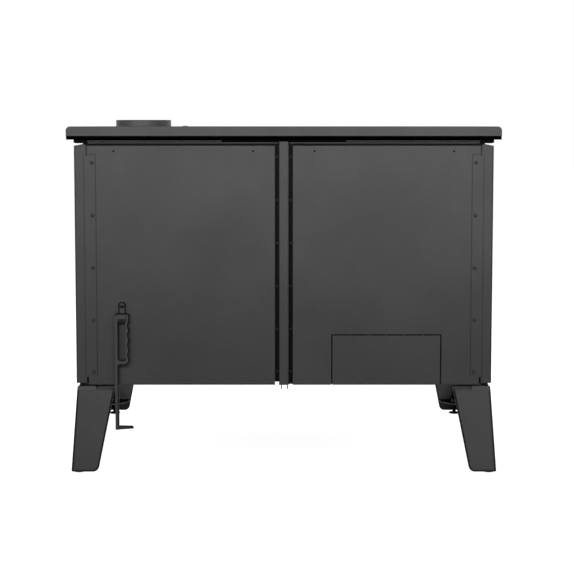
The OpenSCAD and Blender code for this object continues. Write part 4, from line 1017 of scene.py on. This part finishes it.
# Length, width and distance from the centre, in millimetres
LONG_MARK = (3.4, 0.7, 17.6)
SHORT_MARK = (1.9, 0.35, 18.4)
dial_y = door_face - 5 * MM


def mark(length, width, radius, degrees):
    """A thin raised mark on the dial, pointing to its centre."""
    bm = bmesh.new()
    bmesh.ops.create_cube(bm, size=1.0)
    bmesh.ops.bevel(bm, geom=list(bm.edges), offset=0.12, segments=1, affect="EDGES")
    turn = Matrix.Rotation(math.radians(degrees), 4, "Z")
    size = Matrix.Diagonal((length * MM, width * MM, MARK_THICK, 1))
    place = at(DIAL_X, dial_y - PLATE_THICK, DIAL_Z, "front")
    return bm, place @ turn @ Matrix.Translation((radius * MM, 0, 0)) @ size


dial_place = at(DIAL_X, dial_y, DIAL_Z, "front")
add_piece("dial_plate", [(turned(DIAL_PLATE, DIAL_STEPS), dial_place)],
          DIAL_FACE, "oven_door")
add_piece("dial_marks",
          [mark(*(SHORT_MARK if i % 4 else LONG_MARK), -45 + 270 * i / 24) for i in range(25)],
          INK, "oven_door")
add_piece("dial_bezel", [(turned(BEZEL, DIAL_STEPS), dial_place)],
          CHROME, "oven_door")


# Knob roses, rod bushes and the lid's lifting bar

KNOB_Z = 318.5 * MM
KNOB_DEPTH = 29.5 * MM
KNOB_ROSE = mm([(6.7, 0), (12.5, 0), (12.5, 0.8), (11.2, 1.8), (8.4, 1.8), (7.8, 2.6), (6.7, 2.6)])
ROD_X, ROD_Z = 370 * MM, 826.4 * MM
BUSH = mm([(5.3, 0), (10.5, 0), (10.5, 1.4), (9.6, 2.4), (5.3, 2.4)])
BAR_X, BAR_Y = -270 * MM, -16 * MM - 69 * MM

for name, body, x in (("drawer", "ash_drawer", -270 * MM), ("flap", "soot_flap", 253 * MM)):
    knob_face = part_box(body)[0].y + KNOB_DEPTH
    add_piece(name + "_knob_rose", [(turned(KNOB_ROSE), at(x, knob_face, KNOB_Z, "front"))],
              PAINT, body)

front_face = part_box("front_plate")[0].y
add_piece("rod_bushes", [(turned(BUSH), at(side * ROD_X, front_face, ROD_Z, "front"))
                         for side in SIDES], PAINT, "root")

# The bar lies in the lid's pocket, bowed a little downwards at its ends
bow = [Vector((BAR_X + x * MM, BAR_Y, top_z - (1.9 + 0.02 * x * x) * MM)) for x in range(-7, 8)]
add_piece("lid_lifter_bar", [(swept(bow, 1.7 * MM, sides=12), STILL)],
          TOP_PAINT, "hob_lid")


# Floor: it glows white to the camera, a little less round the stove, and holds the shadow

FLOOR_SIZE = 40
FLOOR_GREY = (0.22, 0.22, 0.22, 1)
FLOOR_NEAR, FLOOR_FAR = 1.2, 2.2
FLOOR_GLOW = 0.965


def make_floor():
    bpy.ops.mesh.primitive_plane_add(size=FLOOR_SIZE, location=(0, 0, 0))
    floor = bpy.context.object
    floor.name = "floor"
    material, tree, shader = new_material("floor")
    shader.inputs["Base Color"].default_value = FLOOR_GREY
    shader.inputs["Roughness"].default_value = 1.0
    shader.inputs["Specular IOR Level"].default_value = 0.0
    reach = vector_math(tree, "LENGTH", object_coords(tree))
    rise = tree.nodes.new("ShaderNodeMapRange")
    for socket, value in (("From Min", FLOOR_NEAR), ("From Max", FLOOR_FAR),
                          ("To Min", FLOOR_GLOW), ("To Max", 1.0)):
        rise.inputs[socket].default_value = value
    glow = tree.nodes.new("ShaderNodeEmission")
    add = tree.nodes.new("ShaderNodeAddShader")
    mix = tree.nodes.new("ShaderNodeMixShader")
    tree.links.new(reach.outputs["Value"], rise.inputs["Value"])
    tree.links.new(rise.outputs["Result"], glow.inputs["Strength"])
    tree.links.new(glow.outputs[0], add.inputs[0])
    tree.links.new(shader.outputs[0], add.inputs[1])
    tree.links.new(seen_ray(tree), mix.inputs[0])
    tree.links.new(shader.outputs[0], mix.inputs[1])
    tree.links.new(add.outputs[0], mix.inputs[2])
    tree.links.new(mix.outputs[0], tree.nodes["Material Output"].inputs["Surface"])
    floor.data.materials.append(material)


make_floor()
